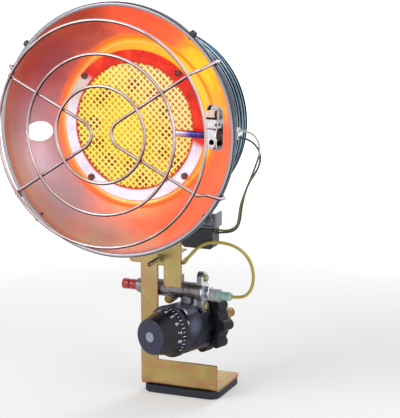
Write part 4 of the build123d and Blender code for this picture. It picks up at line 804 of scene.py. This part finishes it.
def bracketFinish():
    finish, tree, shader = newFinish("zincBracket")
    onFoot = fadeOut(tree, span(tree, objectPlace(tree), up), *zinc["footEnd"])
    patches, streaks, scuffs = (noise(tree, objectPlace(tree, stretch), *sizes) for stretch, sizes in
                                (zinc["patches"], zinc["streaks"], zinc["scuffs"]))
    colour = tones(tree, patches, zinc["sheet"], zinc["sheetAt"])
    colour = wash(tree, colour, fade(tree, onFoot, 0.0, 1.0, *zinc["oliveShare"]), zinc["olive"])
    coppery = fade(tree, onFoot, 0.0, 1.0, *zinc["copperShare"])
    coppery = times(tree, coppery, fade(tree, streaks, *zinc["copperFrom"]))
    colour = wash(tree, colour, coppery, zinc["copper"])
    hem = rubbedEdges(tree, zinc["hemWidth"], streaks, zinc["hemShare"])
    colour = wash(tree, colour, hem, zinc["hem"])
    colour = wash(tree, colour, fade(tree, scuffs, *zinc["scuffShare"]), zinc["scuff"])
    # painted shade along the sheet's edges, as a dark line
    colour = wash(tree, colour, edges(tree, zinc["edgeWidth"]), *zinc["edge"])
    cover(tree, shader, colour, vary(tree, scuffs, zinc["rough"]), bump(tree, scuffs, zinc["relief"]), 1.0)
    return finish


# sensor: heat tints along it, pale pink at the tip, then violet and blue, and brown at its right end, with
# a painted red reflection along its top and foot
heatTints = {
    "along": ((206, 176, 196), (150, 118, 172), (74, 66, 150), (40, 50, 136), (92, 60, 132), (26, 34, 98),
              (62, 44, 50), (84, 60, 56)),
    "alongAt": (0.0, 0.2, 0.34, 0.5, 0.62, 0.74, 0.86, 1.0), "ends": (42.0, 86.0), "ragged": 8.0,
    "patches": 5, "middle": -2.9, "red": (206, 44, 40), "redFrom": (2.5, 3.1), "redEnd": (76.0, 70.0),
    "grain": 0.5, "relief": 0.02, "rough": (0.22, 0.38), "metal": 0.9,
}


def sensorFinish():
    finish, tree, shader = newFinish("sensorMetal")
    dish, place = dishPlace(tree), objectPlace(tree)
    ragged = times(tree, noise(tree, place, heatTints["patches"]), heatTints["ragged"])
    along = fade(tree, plus(tree, dish.across, ragged), *heatTints["ends"])
    colour = tones(tree, along, heatTints["along"], heatTints["alongAt"])
    # painted reflection of the glowing dish, red along the tube's top and foot
    away = maths(tree, "ABSOLUTE", plus(tree, dish.rise, -heatTints["middle"]))
    topAndFoot = fade(tree, away, *heatTints["redFrom"])
    redReflection = times(tree, topAndFoot, fade(tree, dish.across, *heatTints["redEnd"]))
    colour = wash(tree, colour, redReflection, heatTints["red"])
    rough = fade(tree, along, 0.0, 1.0, *heatTints["rough"])
    relief = bump(tree, noise(tree, place, heatTints["grain"]), heatTints["relief"])
    cover(tree, shader, colour, rough, relief, heatTints["metal"])
    return finish


# inlet nut: brass with fine thread lines near its mouth, the valleys between them darker as painted shade
thread = {"brass": ((150, 118, 64), (192, 156, 88)), "valleyShade": (84, 62, 34), "worn": (232, 220, 190),
          "pitch": 1.8, "strip": (-2.2, -2.0, 12.0, 12.2), "crest": (-0.8, 0.4), "depth": 0.2,
          "clouds": 4, "grain": 0.4, "relief": 0.02, "edge": 0.4, "rough": (0.26, 0.42)}


def threadFinish():
    finish, tree, shader = newFinish("threadedBrass")
    place = objectPlace(tree)
    cloud = noise(tree, place, thread["clouds"])
    along = span(tree, objectCoords(tree), gasForward)
    wave = maths(tree, "SINE", times(tree, along, 2 * pi / thread["pitch"]))
    crest = fade(tree, times(tree, wave, strip(tree, along, *thread["strip"])), *thread["crest"])
    # painted shade in the thread's valleys
    colour = blend(tree, crest, tint(*thread["valleyShade"]), tones(tree, cloud, thread["brass"]))
    colour = wash(tree, colour, rubbedEdges(tree, thread["edge"], cloud), thread["worn"])
    grain = bump(tree, noise(tree, place, thread["grain"]), thread["relief"])
    relief = bump(tree, crest, thread["depth"], grain)
    cover(tree, shader, colour, vary(tree, cloud, thread["rough"]), relief, 1.0)
    return finish


# knob: near-black skirt, a face painted lighter and bluer as a painted sheen, and a worn edge between them
# that is also a painted highlight
knobSkin = {
    "skirt": ((18, 18, 26), (30, 30, 42)), "face": ((46, 48, 68), (62, 64, 86)), "faceFrom": (0.6, 0.9),
    "rubbed": ((112, 114, 136), 0.7), "rubbedFrom": (0.35, 0.6), "edge": 0.5, "clouds": 9,
    "grain": 0.35, "relief": 0.02, "rough": (0.24, 0.38), "gloss": 0.3,
}


def knobFinish():
    finish, tree, shader = newFinish("knobPlastic")
    place = objectPlace(tree)
    cloud, grain = (noise(tree, place, knobSkin[size]) for size in ("clouds", "grain"))
    # the face painted lighter and bluer, a painted sheen
    onFace = fade(tree, facing(tree, gasForward), *knobSkin["faceFrom"])
    skirt, face = (tones(tree, cloud, knobSkin[side]) for side in ("skirt", "face"))
    colour = blend(tree, onFace, skirt, face)
    # worn edges, also a painted highlight
    rubbed = rubbedEdges(tree, knobSkin["edge"], grain, knobSkin["rubbedFrom"])
    colour = wash(tree, colour, rubbed, *knobSkin["rubbed"])
    cover(tree, shader, colour, vary(tree, cloud, knobSkin["rough"]), bump(tree, grain, knobSkin["relief"]))
    shader.inputs["Specular IOR Level"].default_value = knobSkin["gloss"]
    return finish


# regulator: dark casting with brighter, bluish painted highlights where its rough skin faces up
casting = {
    "skin": ((34, 34, 42), (52, 53, 64), (66, 68, 82)), "clouds": (7, 4.0, 0.6, 0.4), "grain": 0.8,
    "highlightTone": (150, 152, 170), "highlightWay": (0.1, -0.25, 0.96), "highlightRagged": 0.5,
    "highlightShare": (0.6, 1.2, 0.0, 0.8), "pits": (30, 30, 38), "worn": (156, 158, 172), "edge": 0.6,
    "relief": 0.1, "rough": (0.34, 0.52),
    # a bluish painted highlight and two small white painted highlights behind the knob: reach and height,
    # radii, strength and colour
    "highlightSpots": (((47, 4), 2.0, 12.0, 0.55, (120, 124, 150)), ((58, 19), 1.6, 3.4, 0.8, (206, 208, 220)),
             ((58, 8), 1.8, 3.4, 0.95, (236, 238, 244))),
    "ragged": 3.0, "outside": (0.2, 0.5),
}


def castFinish():
    finish, tree, shader = newFinish("castMetal")
    place, coords = objectPlace(tree), objectCoords(tree)
    cloud, grain = noise(tree, place, *casting["clouds"]), noise(tree, place, casting["grain"])
    # painted highlights where the skin faces up
    highlightMask = facing(tree, Vector(casting["highlightWay"]))
    highlightMask = plus(tree, highlightMask, times(tree, cloud, casting["highlightRagged"]))
    colour = tones(tree, cloud, casting["skin"])
    colour = wash(tree, colour, fade(tree, highlightMask, *casting["highlightShare"]), casting["highlightTone"])
    reach = plus(tree, span(tree, coords, gasForward), times(tree, grain, casting["ragged"]))
    height = span(tree, coords, up)
    outside = fade(tree, facing(tree, gasAcross), *casting["outside"])
    # painted highlights behind the knob, on the side that faces across
    for middle, inner, outer, strength, tone in casting["highlightSpots"]:
        highlightSpot = times(tree, spot(tree, reach, height, middle, inner, outer), outside)
        colour = wash(tree, colour, highlightSpot, tone, strength)
    colour = wash(tree, colour, fade(tree, grain, *speckRange), casting["pits"])
    colour = wash(tree, colour, rubbedEdges(tree, casting["edge"], grain), casting["worn"])
    relief = bump(tree, grain, casting["relief"])
    cover(tree, shader, colour, vary(tree, cloud, casting["rough"]), relief, 1.0)
    return finish


# clear sleeve on the magnet's lead
sleeve = {"tones": ((206, 212, 214), (236, 240, 242)), "clouds": 3, "grain": 1.0, "relief": 0.03,
          "rough": (0.12, 0.3), "clearness": 0.55, "index": 1.4}


def sleeveFinish():
    finish, tree, shader = newFinish("clearSleeve")
    place = objectPlace(tree)
    cloud = noise(tree, place, sleeve["clouds"])
    relief = bump(tree, noise(tree, place, sleeve["grain"]), sleeve["relief"])
    cover(tree, shader, tones(tree, cloud, sleeve["tones"]), vary(tree, cloud, sleeve["rough"]), relief)
    shader.inputs["Transmission Weight"].default_value = sleeve["clearness"]
    shader.inputs["IOR"].default_value = sleeve["index"]
    return finish


dress(bowlFinish(), "reflector")
dress(ringFinish(), "retaining_ring")
dress(shieldFinish(), "rear_shield")
dress(bracketFinish(), "support_bracket", "tube_shelf")
dress(sensorFinish(), "thermocouple")
dress(threadFinish(), "inlet_nut")
dress(knobFinish(), "control_knob")
dress(castFinish(), "regulator_body", "regulator_bonnet")
dress(sleeveFinish(), "lead_sleeve")
guardWire = guardFinish()
dress(guardWire, "guard_ring_outer", "guard_ring_middle", "guard_ring_inner", "guard_left_wire",
      "guard_right_wire")
addPiece("guardWelds", guardWelds(), "heater", guardWire)
print("parts dressed and guard welded")


# clamp bolt: one helical ridge round the part that stands in front of its nut, in millimetres
bolt = {"across": 10.4, "height": 62.5, "radius": 2.0, "from": 3.8, "to": 23.4, "pitch": 0.9, "wire": 0.2,
        "steps": 14, "sides": 4}


def boltThread():
    grid = bmesh.new()
    points = []
    for k in range(int((bolt["to"] - bolt["from"]) / bolt["pitch"] * bolt["steps"]) + 1):
        angle = 2 * pi * k / bolt["steps"]
        front = bolt["from"] + bolt["pitch"] * k / bolt["steps"]
        points.append(platePoint(bolt["across"] + bolt["radius"] * cos(angle), -front,
                                 bolt["height"] + bolt["radius"] * sin(angle)))
    tubeAlong(grid, points, bolt["wire"] / 1000, bolt["sides"])
    return finishMesh("boltThread", grid)


addPiece("boltThread", boltThread(), "heater", plain["zincScrew"])


# dial: ticks and numbers on the knob's cone, turned in degrees, with their reach towards the front
dial = {
    "rear": 64.5, "front": 88.1, "rearRadius": 21.6, "frontRadius": 16.0, "proud": 0.12,
    "ticks": 21, "tickStart": -40.0, "tickStep": 10.0, "tickReach": 66.3, "tickWidth": 0.6,
    "tickLengths": (3.0, 1.7), "numbers": "12345678", "numberStart": 150.0, "numberStep": 23.0,
    "numberReach": 71.2, "numberSize": 5.6,
}


def onKnob(angle, reach):
    # x runs clockwise round the cone, y to the back and z out of it
    slope = (dial["rearRadius"] - dial["frontRadius"]) / (dial["front"] - dial["rear"])
    outward = gasAcross * cos(angle) + up * sin(angle)
    normal = (outward + gasForward * slope).normalized()
    back = (outward * slope - gasForward).normalized()
    middle = (gasForward * reach + outward * (dial["rearRadius"] - (reach - dial["rear"]) * slope)) / 1000
    return axesAt(middle, back.cross(normal), back, normal)


def addCurve(grid, curve, place):
    # a flat curve or a text as a mesh, moved into place and added to an open bmesh
    holder = bpy.data.objects.new(curve.name, curve)
    drawn = bpy.data.meshes.new_from_object(holder)
    drawn.transform(place)
    grid.from_mesh(drawn)
    bpy.data.objects.remove(holder)
    bpy.data.meshes.remove(drawn)


def dialMarks():
    grid = bmesh.new()
    proud = dial["proud"] / 1000
    for k in range(dial["ticks"]):
        length = dial["tickLengths"][k % 2] / 1000
        size = Matrix.Diagonal((dial["tickWidth"] / 1000, length, 2 * proud, 1))
        place = onKnob(radians(dial["tickStart"] + k * dial["tickStep"]), dial["tickReach"])
        bmesh.ops.create_cube(grid, size=1, matrix=place @ size)
    for k, number in enumerate(dial["numbers"]):
        words = bpy.data.curves.new("number", "FONT")
        words.body = number
        words.size = dial["numberSize"] / 1000
        words.extrude = proud
        words.align_x, words.align_y = "CENTER", "CENTER"
        place = onKnob(radians(dial["numberStart"] - k * dial["numberStep"]), dial["numberReach"])
        addCurve(grid, words, place)
    mesh = finishMesh("dialMarks", grid)
    mesh.materials.clear()
    return mesh


addPiece("dialMarks", dialMarks(), "knob", plain["dialMarks"])
print("bolt thread and dial marks added")


# sensor's bracket: outlines in millimetres across and up from the dish's axis, and how deep each sheet lies
sensorMount = {
    "sheet": 1.2, "bevel": 0.16, "holeCorners": 28,
    "lowerTab": ((70.2, 2.9), (77.6, 2.9), (78.9, 1.6), (78.9, -9.0), (78.2, -11.6), (77.0, -13.1),
                 (75.0, -13.6), (72.6, -12.9), (71.0, -11.2), (70.3, -8.8)),
    "lowerDepth": 31.0, "lowerHole": ((75.7, -7.9), 2.3),
    "upperTab": ((68.6, 3.3), (78.9, 3.3), (78.9, 5.4), (77.4, 5.4), (77.4, 7.9), (78.9, 7.9),
                 (78.9, 11.0), (68.6, 11.0)),
    "upperDepth": 34.0,
    "backTab": ((69.5, 7.0), (85.0, 7.0), (85.6, 16.0), (83.4, 21.0), (80.0, 23.6), (73.0, 23.4),
                (69.5, 20.0)),
    "backDepth": 43.4,
    # the web stands across the dish: its outline and openings run deep and up
    "webSide": 80.0, "sensorHole": ((36.0, -2.9), 3.3),
    "web": ((31.0, -12.6), (54.2, -13.6), (54.2, 11.0), (37.4, 11.0), (37.4, 17.2), (36.2, 18.5),
            (34.0, 18.5), (34.0, 3.3), (31.0, 2.9)),
    "openings": (((35.2, 5.4), (40.6, 5.4), (40.6, 7.9), (35.2, 7.9)),
                 ((32.4, 0.8), (46.0, 0.8), (46.0, 2.2), (32.4, 2.2)),
                 ((32.4, -11.6), (46.0, -11.6), (46.0, -6.6), (32.4, -6.6))),
    # the flange lies on the round wall of the burner's case
    "flangeDepth": 53.0, "flangeRise": (-13.6, 3.2), "caseRadius": 56.9, "arcSteps": 10, "weld": 0.00001,
}


def roundHole(middle, radius):
    turns = [2 * pi * k / sensorMount["holeCorners"] for k in range(sensorMount["holeCorners"])]
    return [(middle[0] + radius * cos(turn), middle[1] + radius * sin(turn)) for turn in turns]


def sheetPiece(grid, outline, holes, place):
    # a flat sheet with softened edges, added to an open bmesh
    curve = bpy.data.curves.new("sheet", "CURVE")
    curve.dimensions = "2D"
    curve.fill_mode = "BOTH"
    curve.extrude = (sensorMount["sheet"] / 2 - sensorMount["bevel"]) / 1000
    curve.bevel_depth = sensorMount["bevel"] / 1000
    curve.bevel_resolution = 1
    curve.offset = -sensorMount["bevel"] / 1000
    for loop in (outline, *holes):
        spline = curve.splines.new("POLY")
        spline.points.add(len(loop) - 1)
        for point, (x, y) in zip(spline.points, loop):
            point.co = (x / 1000, y / 1000, 0, 1)
        spline.use_cyclic_u = True
    addCurve(grid, curve, place)


def dishSheet(depth):
    # x runs across, y up and z to the front, with the middle of a sheet at the origin
    return axesAt(dishPoint(0, 0, depth + sensorMount["sheet"] / 2), right, dishUp, dishForward)


def sensorPlate():
    mount, grid = sensorMount, bmesh.new()
    sheetPiece(grid, mount["lowerTab"], [roundHole(*mount["lowerHole"])], dishSheet(mount["lowerDepth"]))
    sheetPiece(grid, mount["upperTab"], (), dishSheet(mount["upperDepth"]))
    sheetPiece(grid, mount["backTab"], (), dishSheet(mount["backDepth"]))
    web = axesAt(dishPoint(mount["webSide"] - mount["sheet"] / 2, 0, 0), -dishForward, dishUp, right)
    sheetPiece(grid, mount["web"], [roundHole(*mount["sensorHole"]), *mount["openings"]], web)
    low, high = mount["flangeRise"]
    rises = [low + (high - low) * k / mount["arcSteps"] for k in range(mount["arcSteps"] + 1)]
    arc = [(sqrt(mount["caseRadius"] ** 2 - rise ** 2), rise) for rise in rises]
    sheetPiece(grid, [*arc, (mount["webSide"], high), (mount["webSide"], low)], (),
               dishSheet(mount["flangeDepth"]))
    bmesh.ops.remove_doubles(grid, verts=grid.verts, dist=mount["weld"])
    return finishMesh("sensorPlate", grid)


# the sensor bracket's bright sheet, darker, nearly black, in streaks on its side and deep behind the slot
plateLook = {
    "sheet": ((186, 188, 196), (214, 214, 218), (232, 224, 206)), "sheetAt": (0.3, 0.55, 0.7),
    "black": (34, 24, 26), "side": (0.6, 0.9), "sideFrom": (32.4, 33.6), "sideBelow": (4.5, 3.5),
    "backFrom": (38.0, 44.0), "backBelow": (7.4, 6.4),
    "streaks": 2.2, "streakShare": (0.62, 0.74, 1.0, 0.25),
    "specks": ((136, 134, 144), 0.6), "clouds": (4, 4.0, 0.6, 0.4), "grain": 0.5, "relief": 0.03,
    "rough": (0.24, 0.42),
}


def plateFinish():
    finish, tree, shader = newFinish("streakedPlate")
    dish, place = dishPlace(tree), objectPlace(tree)
    cloud, grain = noise(tree, place, *plateLook["clouds"]), noise(tree, place, plateLook["grain"])
    onSide = fade(tree, facing(tree, right), *plateLook["side"])
    onSide = times(tree, onSide, fade(tree, dish.depth, *plateLook["sideFrom"]))
    onSide = times(tree, fade(tree, dish.rise, *plateLook["sideBelow"]), onSide)
    behind = fade(tree, dish.depth, *plateLook["backFrom"])
    behind = times(tree, behind, fade(tree, dish.rise, *plateLook["backBelow"]))
    streaks = fade(tree, noise(tree, place, plateLook["streaks"]), *plateLook["streakShare"])
    black = times(tree, maths(tree, "MAXIMUM", onSide, behind), streaks)
    colour = tones(tree, cloud, plateLook["sheet"], plateLook["sheetAt"])
    colour = wash(tree, colour, black, plateLook["black"])
    tone, strength = plateLook["specks"]
    colour = wash(tree, colour, fade(tree, grain, *speckRange, 0.0, strength), tone)
    relief = bump(tree, grain, plateLook["relief"])
    cover(tree, shader, colour, vary(tree, cloud, plateLook["rough"]), relief, 1.0)
    return finish


# ceramic block: unglazed, with softened corners, a shallow groove over its front and a chipped corner
ceramic = {
    "across": (69.2, 77.7), "rise": (12.9, 18.7), "depth": (31.5, 40.4),
    "round": 0.9, "segments": 3, "profile": 0.5, "cuts": 3,
    # places are shares of the block's size, from its middle
    "groove": 0.8, "grooveAt": 0.16, "grooveHalf": 0.07, "grooveFrom": 0.3, "chip": 0.5, "chipFrom": 0.3,
}


def ceramicBody():
    grid = bmesh.new()
    ways = [ceramic[way] for way in ("across", "rise", "depth")]
    size = [high - low for low, high in ways]
    bmesh.ops.create_cube(grid, size=1, matrix=Matrix.Diagonal([reach / 1000 for reach in size] + [1]))
    bmesh.ops.bevel(grid, geom=list(grid.edges), offset=ceramic["round"] / 1000, affect="EDGES",
                    segments=ceramic["segments"], profile=ceramic["profile"])
    bmesh.ops.subdivide_edges(grid, edges=list(grid.edges), cuts=ceramic["cuts"], use_grid_fill=True)
    for corner in grid.verts:
        along = corner.co.x * 1000 / size[0]
        atFront = corner.co.z > ceramic["grooveFrom"] * size[2] / 1000
        if atFront and abs(along - ceramic["grooveAt"]) < ceramic["grooveHalf"]:
            corner.co.z -= ceramic["groove"] / 1000
        if along < -ceramic["chipFrom"] and corner.co.y > ceramic["chipFrom"] * size[1] / 1000:
            corner.co.y -= ceramic["chip"] / 1000
    middle = dishPoint(*(sum(ends) / 2 for ends in ways))
    bmesh.ops.transform(grid, matrix=axesAt(middle, right, dishUp, dishForward), verts=grid.verts)
    return finishMesh("ceramicBody", grid, smooth=True)


# twisted wire ends below the block, and a dark clip down its right side
clamp = {
    # places run across, up and deep in the dish, in millimetres
    "lumps": (70.2, 72.0, 73.7, 75.6, 77.1), "lumpPlace": (12.05, 33.9), "lumpSizes": (0.624, 0.8),
    "lumpShape": (1.0, 1.0, 1.8, 1.0), "sides": 10,
    "wires": (
        # the radius of each wire and the points that it runs through
        (0.75, ((69.4, 12.05, 34.7), (72.0, 12.05, 34.7), (75.0, 12.05, 34.7), (78.3, 12.05, 34.7))),
        (0.58, ((78.35, 11.4, 32.5), (78.35, 13.0, 32.5), (78.35, 15.0, 32.5), (78.35, 17.0, 32.5),
                (78.35, 18.4, 32.5))),
        (0.5, ((78.35, 18.3, 32.5), (78.35, 18.3, 34.5), (78.35, 18.3, 37.5)))),
}


def ceramicClamp():
    grid = bmesh.new()
    for k, across in enumerate(clamp["lumps"]):
        middle = dishPoint(across, *clamp["lumpPlace"])
        addBall(grid, middle, clamp["lumpSizes"][k % 2], clamp["lumpShape"])
    for radius, points in clamp["wires"]:
        tubeAlong(grid, [dishPoint(*point) for point in points], radius / 1000, clamp["sides"])
    return finishMesh("ceramicClamp", grid, smooth=True)


addPiece("sensorPlate", sensorPlate(), "heater", plateFinish(), ("sensor_bracket",))
addPiece("ceramicBody", ceramicBody(), "heater", plain["ceramic"], ("ceramic_block",))
addPiece("ceramicClamp", ceramicClamp(), "heater", plain["clampSteel"])
print("sensor's bracket and ceramic block made")


# springs: coils, each listed with the joint that it sits on
springs = {
    # where each coil's middle line starts and which way it runs, in metres, then millimetres
    "buttonSpring": {
        "stands": "button_spring", "start": (stemX - 0.0084, valveY, valveZ), "way": right, "pitch": 2.6,
        "length": 5.8, "radius": 3.6, "wire": 0.5, "joint": "button_press", "towards": 1, "keep": 0.41},
    "regulatorSpring": {
        "stands": "regulator_spring", "start": gasForward * 0.0595, "way": gasForward, "pitch": 2.9,
        "length": 9.8, "radius": 6.0, "wire": 0.9, "joint": "seat_slide", "towards": 0, "keep": 0.74},
}
coil = {"steps": 24, "sides": 8}        # points in a turn and corners round the wire


def coilSpring(name, spring):
    grid = bmesh.new()
    start, way = Vector(spring["start"]), Vector(spring["way"])
    aside = way.cross(up).normalized()
    other = way.cross(aside)
    steps = int(spring["length"] / spring["pitch"] * coil["steps"])
    points = []
    for k in range(steps + 1):
        angle = 2 * pi * k * spring["length"] / spring["pitch"] / steps
        ring = (aside * cos(angle) + other * sin(angle)) * spring["radius"]
        points.append(start + (ring + way * spring["length"] * k / steps) / 1000)
    tubeAlong(grid, points, spring["wire"] / 1000, coil["sides"])
    mesh = finishMesh(name, grid)
    piece = addPiece(name, mesh, "heater", plain["springSteel"], (spring["stands"],))
    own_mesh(piece)


for name, spring in springs.items():
    coilSpring(name, spring)
print("springs coiled")


# leads: each route runs from the place where the lead leaves its part
leads = {
    "magnetLead": {
        "stands": "magnet_lead", "finish": "yellowLead", "slot": "yellow_lead", "radius": 1.45,
        "length": 0.1998,
        "route": (
            (75.2, 11.0, 31.2), (83.2, 11.0, 31.2), (90.6, 11.0, 35.4), (95.0, 10.4, 44.0),
            (96.2, 9.0, 55.4), (93.6, 6.4, 67.6), (86.6, 2.2, 77.6), (77.0, -2.4, 82.8),
            (66.0, -5.4, 84.0), (55.6, -6.6, 81.8), (46.6, -6.8, 75.0), (39.6, -4.6, 67.0),
            (33.8, 1.8, 60.4), (27.2, 10.3, 57.2), (25.2, 20.3, 57.2), (30.0, 30.2, 61.9),
            (35.2, 35.6, 71.2), (39.2, 32.6, 80.4), (41.0, 24.0, 84.6), (41.0, 14.6, 84.6))},
    "sensorLeadFront": {
        "stands": "sensor_lead_front", "finish": "sleevedLead", "slot": "olive_lead", "radius": 0.9,
        "length": 0.1276,
        "route": (
            (88.1, -7.6, 184.6), (95.0, -7.8, 184.8), (102.8, -8.0, 181.6), (107.4, -7.8, 173.4),
            (106.4, -6.6, 163.6), (101.4, -4.6, 151.6), (96.2, -2.2, 140.0), (90.6, 0.6, 128.6),
            (85.8, 3.2, 117.6), (83.4, 5.6, 106.2), (81.4, 7.2, 97.4), (74.6, 8.2, 92.4), (67.6, 8.6, 91.2),
            (61.5, 8.6, 91.4))},
    "sensorLeadBack": {
        "stands": "sensor_lead_back", "finish": "darkLead", "slot": "dark_lead", "radius": 0.9,
        "length": 0.1214,
        "route": (
            (88.1, -7.6, 178.6), (93.8, -7.4, 178.2), (100.4, -4.6, 174.4), (104.8, -0.4, 166.2),
            (104.0, 3.0, 156.2), (98.8, 5.2, 146.0), (91.4, 7.4, 135.6), (86.6, 9.4, 123.6),
            (83.6, 10.8, 111.0), (82.2, 11.4, 99.6), (78.2, 11.4, 92.0), (69.8, 10.6, 89.0),
            (61.5, 10.4, 88.6))},
}
# the front sensor lead wears a pale sleeve over its upper end
sleeved = {"olive": ((102, 96, 60), (134, 126, 84)), "pale": ((196, 190, 176), (222, 218, 208)),
           "paleFrom": (163.0, 165.0), "clouds": 7, "grain": 0.4, "relief": 0.02, "rough": (0.34, 0.5)}
leadCurve = {"sides": 5, "steps": 12, "order": 3}       # how finely each lead is drawn


def leadFinish():
    finish, tree, shader = newFinish("sleevedLead")
    place = objectPlace(tree)
    cloud = noise(tree, place, sleeved["clouds"])
    onSleeve = fade(tree, span(tree, objectCoords(tree), up), *sleeved["paleFrom"])
    olive, pale = (tones(tree, cloud, sleeved[coat]) for coat in ("olive", "pale"))
    colour = blend(tree, onSleeve, olive, pale)
    relief = bump(tree, noise(tree, place, sleeved["grain"]), sleeved["relief"])
    cover(tree, shader, colour, vary(tree, cloud, sleeved["rough"]), relief)
    return finish


def layLead(name, lead):
    curve = bpy.data.curves.new(name, "CURVE")
    curve.dimensions = "3D"
    curve.bevel_depth = lead["radius"] / 1000
    curve.bevel_resolution = leadCurve["sides"]
    curve.resolution_u = leadCurve["steps"]
    spline = curve.splines.new("NURBS")
    spline.points.add(len(lead["route"]) - 1)
    for point, place in zip(spline.points, lead["route"]):
        point.co = (*platePoint(*place), 1)
    spline.order_u = leadCurve["order"]
    spline.use_endpoint_u = True
    piece = addPiece(name, curve, "heater", plain[lead["finish"]], (lead["stands"],))


plain["sleevedLead"] = leadFinish()
for name, lead in leads.items():
    layLead(name, lead)
print("leads laid")


# floor, light and background
studio = {
    "floorHalf": 6.0, "floorCells": 8, "floorTones": (0.86, 0.9), "floorPatches": (400, 2.0),
    "floorRough": 0.9, "floorGloss": 0.1,
    # the floor is lifted to white away from the heater, whose shadow stays: distances in metres
    "lifted": (0.3, 1.1, 0.16, 1.0), "light": (0.5, 1.0),
    "lamps": {
        "keyLamp": {"place": (-0.9, -1.5, 1.3), "width": 0.9, "power": 14},
        "fillLamp": {"place": (1.5, -0.9, 0.7), "width": 1.1, "power": 7},
        "backLamp": {"place": (0.3, 1.5, 1.2), "width": 1.0, "power": 9}},
    "aim": (-0.03, -0.06, 0.1),
}
white = (1, 1, 1, 1)


def seenDirectly(tree):
    # 1 for what the camera sees straight, in a reflection or through a clear piece
    rays = tree.nodes.new("ShaderNodeLightPath")
    seen = maths(tree, "MAXIMUM", rays.outputs["Is Camera Ray"], rays.outputs["Is Glossy Ray"])
    return maths(tree, "MAXIMUM", seen, rays.outputs["Is Transmission Ray"])


def floorFinish():
    finish, tree, shader = newFinish("paleFloor")
    cloud = noise(tree, objectPlace(tree), *studio["floorPatches"])
    greys = [(place, (grey, grey, grey, 1)) for place, grey in zip(noiseRange, studio["floorTones"])]
    feed(tree, shader.inputs["Base Color"], ramp(tree, cloud, greys))
    shader.inputs["Roughness"].default_value = studio["floorRough"]
    shader.inputs["Specular IOR Level"].default_value = studio["floorGloss"]
    away = vectors(tree, "LENGTH", objectCoords(tree))
    glow(tree, shader, white, times(tree, seenDirectly(tree), fade(tree, away, *studio["lifted"])))
    return finish


def setFloor():
    grid = bmesh.new()
    bmesh.ops.create_grid(grid, x_segments=studio["floorCells"], y_segments=studio["floorCells"],
                          size=studio["floorHalf"])
    mesh = finishMesh("floor", grid)
    mesh.materials.append(floorFinish())
    floor = bpy.data.objects.new("floor", mesh)
    floor.location = (0, 0, floorZ)
    bpy.context.scene.collection.objects.link(floor)


def lightScene():
    world = bpy.data.worlds.new("studio")
    bpy.context.scene.world = world
    world.use_nodes = True
    tree = world.node_tree
    tree.nodes.clear()
    background = tree.nodes.new("ShaderNodeBackground")
    feed(tree, background.inputs["Color"], white)
    feed(tree, background.inputs["Strength"], fade(tree, seenDirectly(tree), 0.0, 1.0, *studio["light"]))
    output = tree.nodes.new("ShaderNodeOutputWorld")
    tree.links.new(background.outputs[0], output.inputs[0])


def addLamp(name, place, width, power):
    lamp = bpy.data.lights.new(name, "AREA")
    lamp.size = width
    lamp.energy = power
    holder = bpy.data.objects.new(name, lamp)
    holder.location = place
    holder.rotation_euler = (Vector(studio["aim"]) - Vector(place)).to_track_quat("-Z", "Y").to_euler()
    bpy.context.scene.collection.objects.link(holder)


setFloor()
lightScene()
for name, lamp in studio["lamps"].items():
    addLamp(name, **lamp)
bpy.context.scene.view_settings.view_transform = "Standard"
print("stage lit")
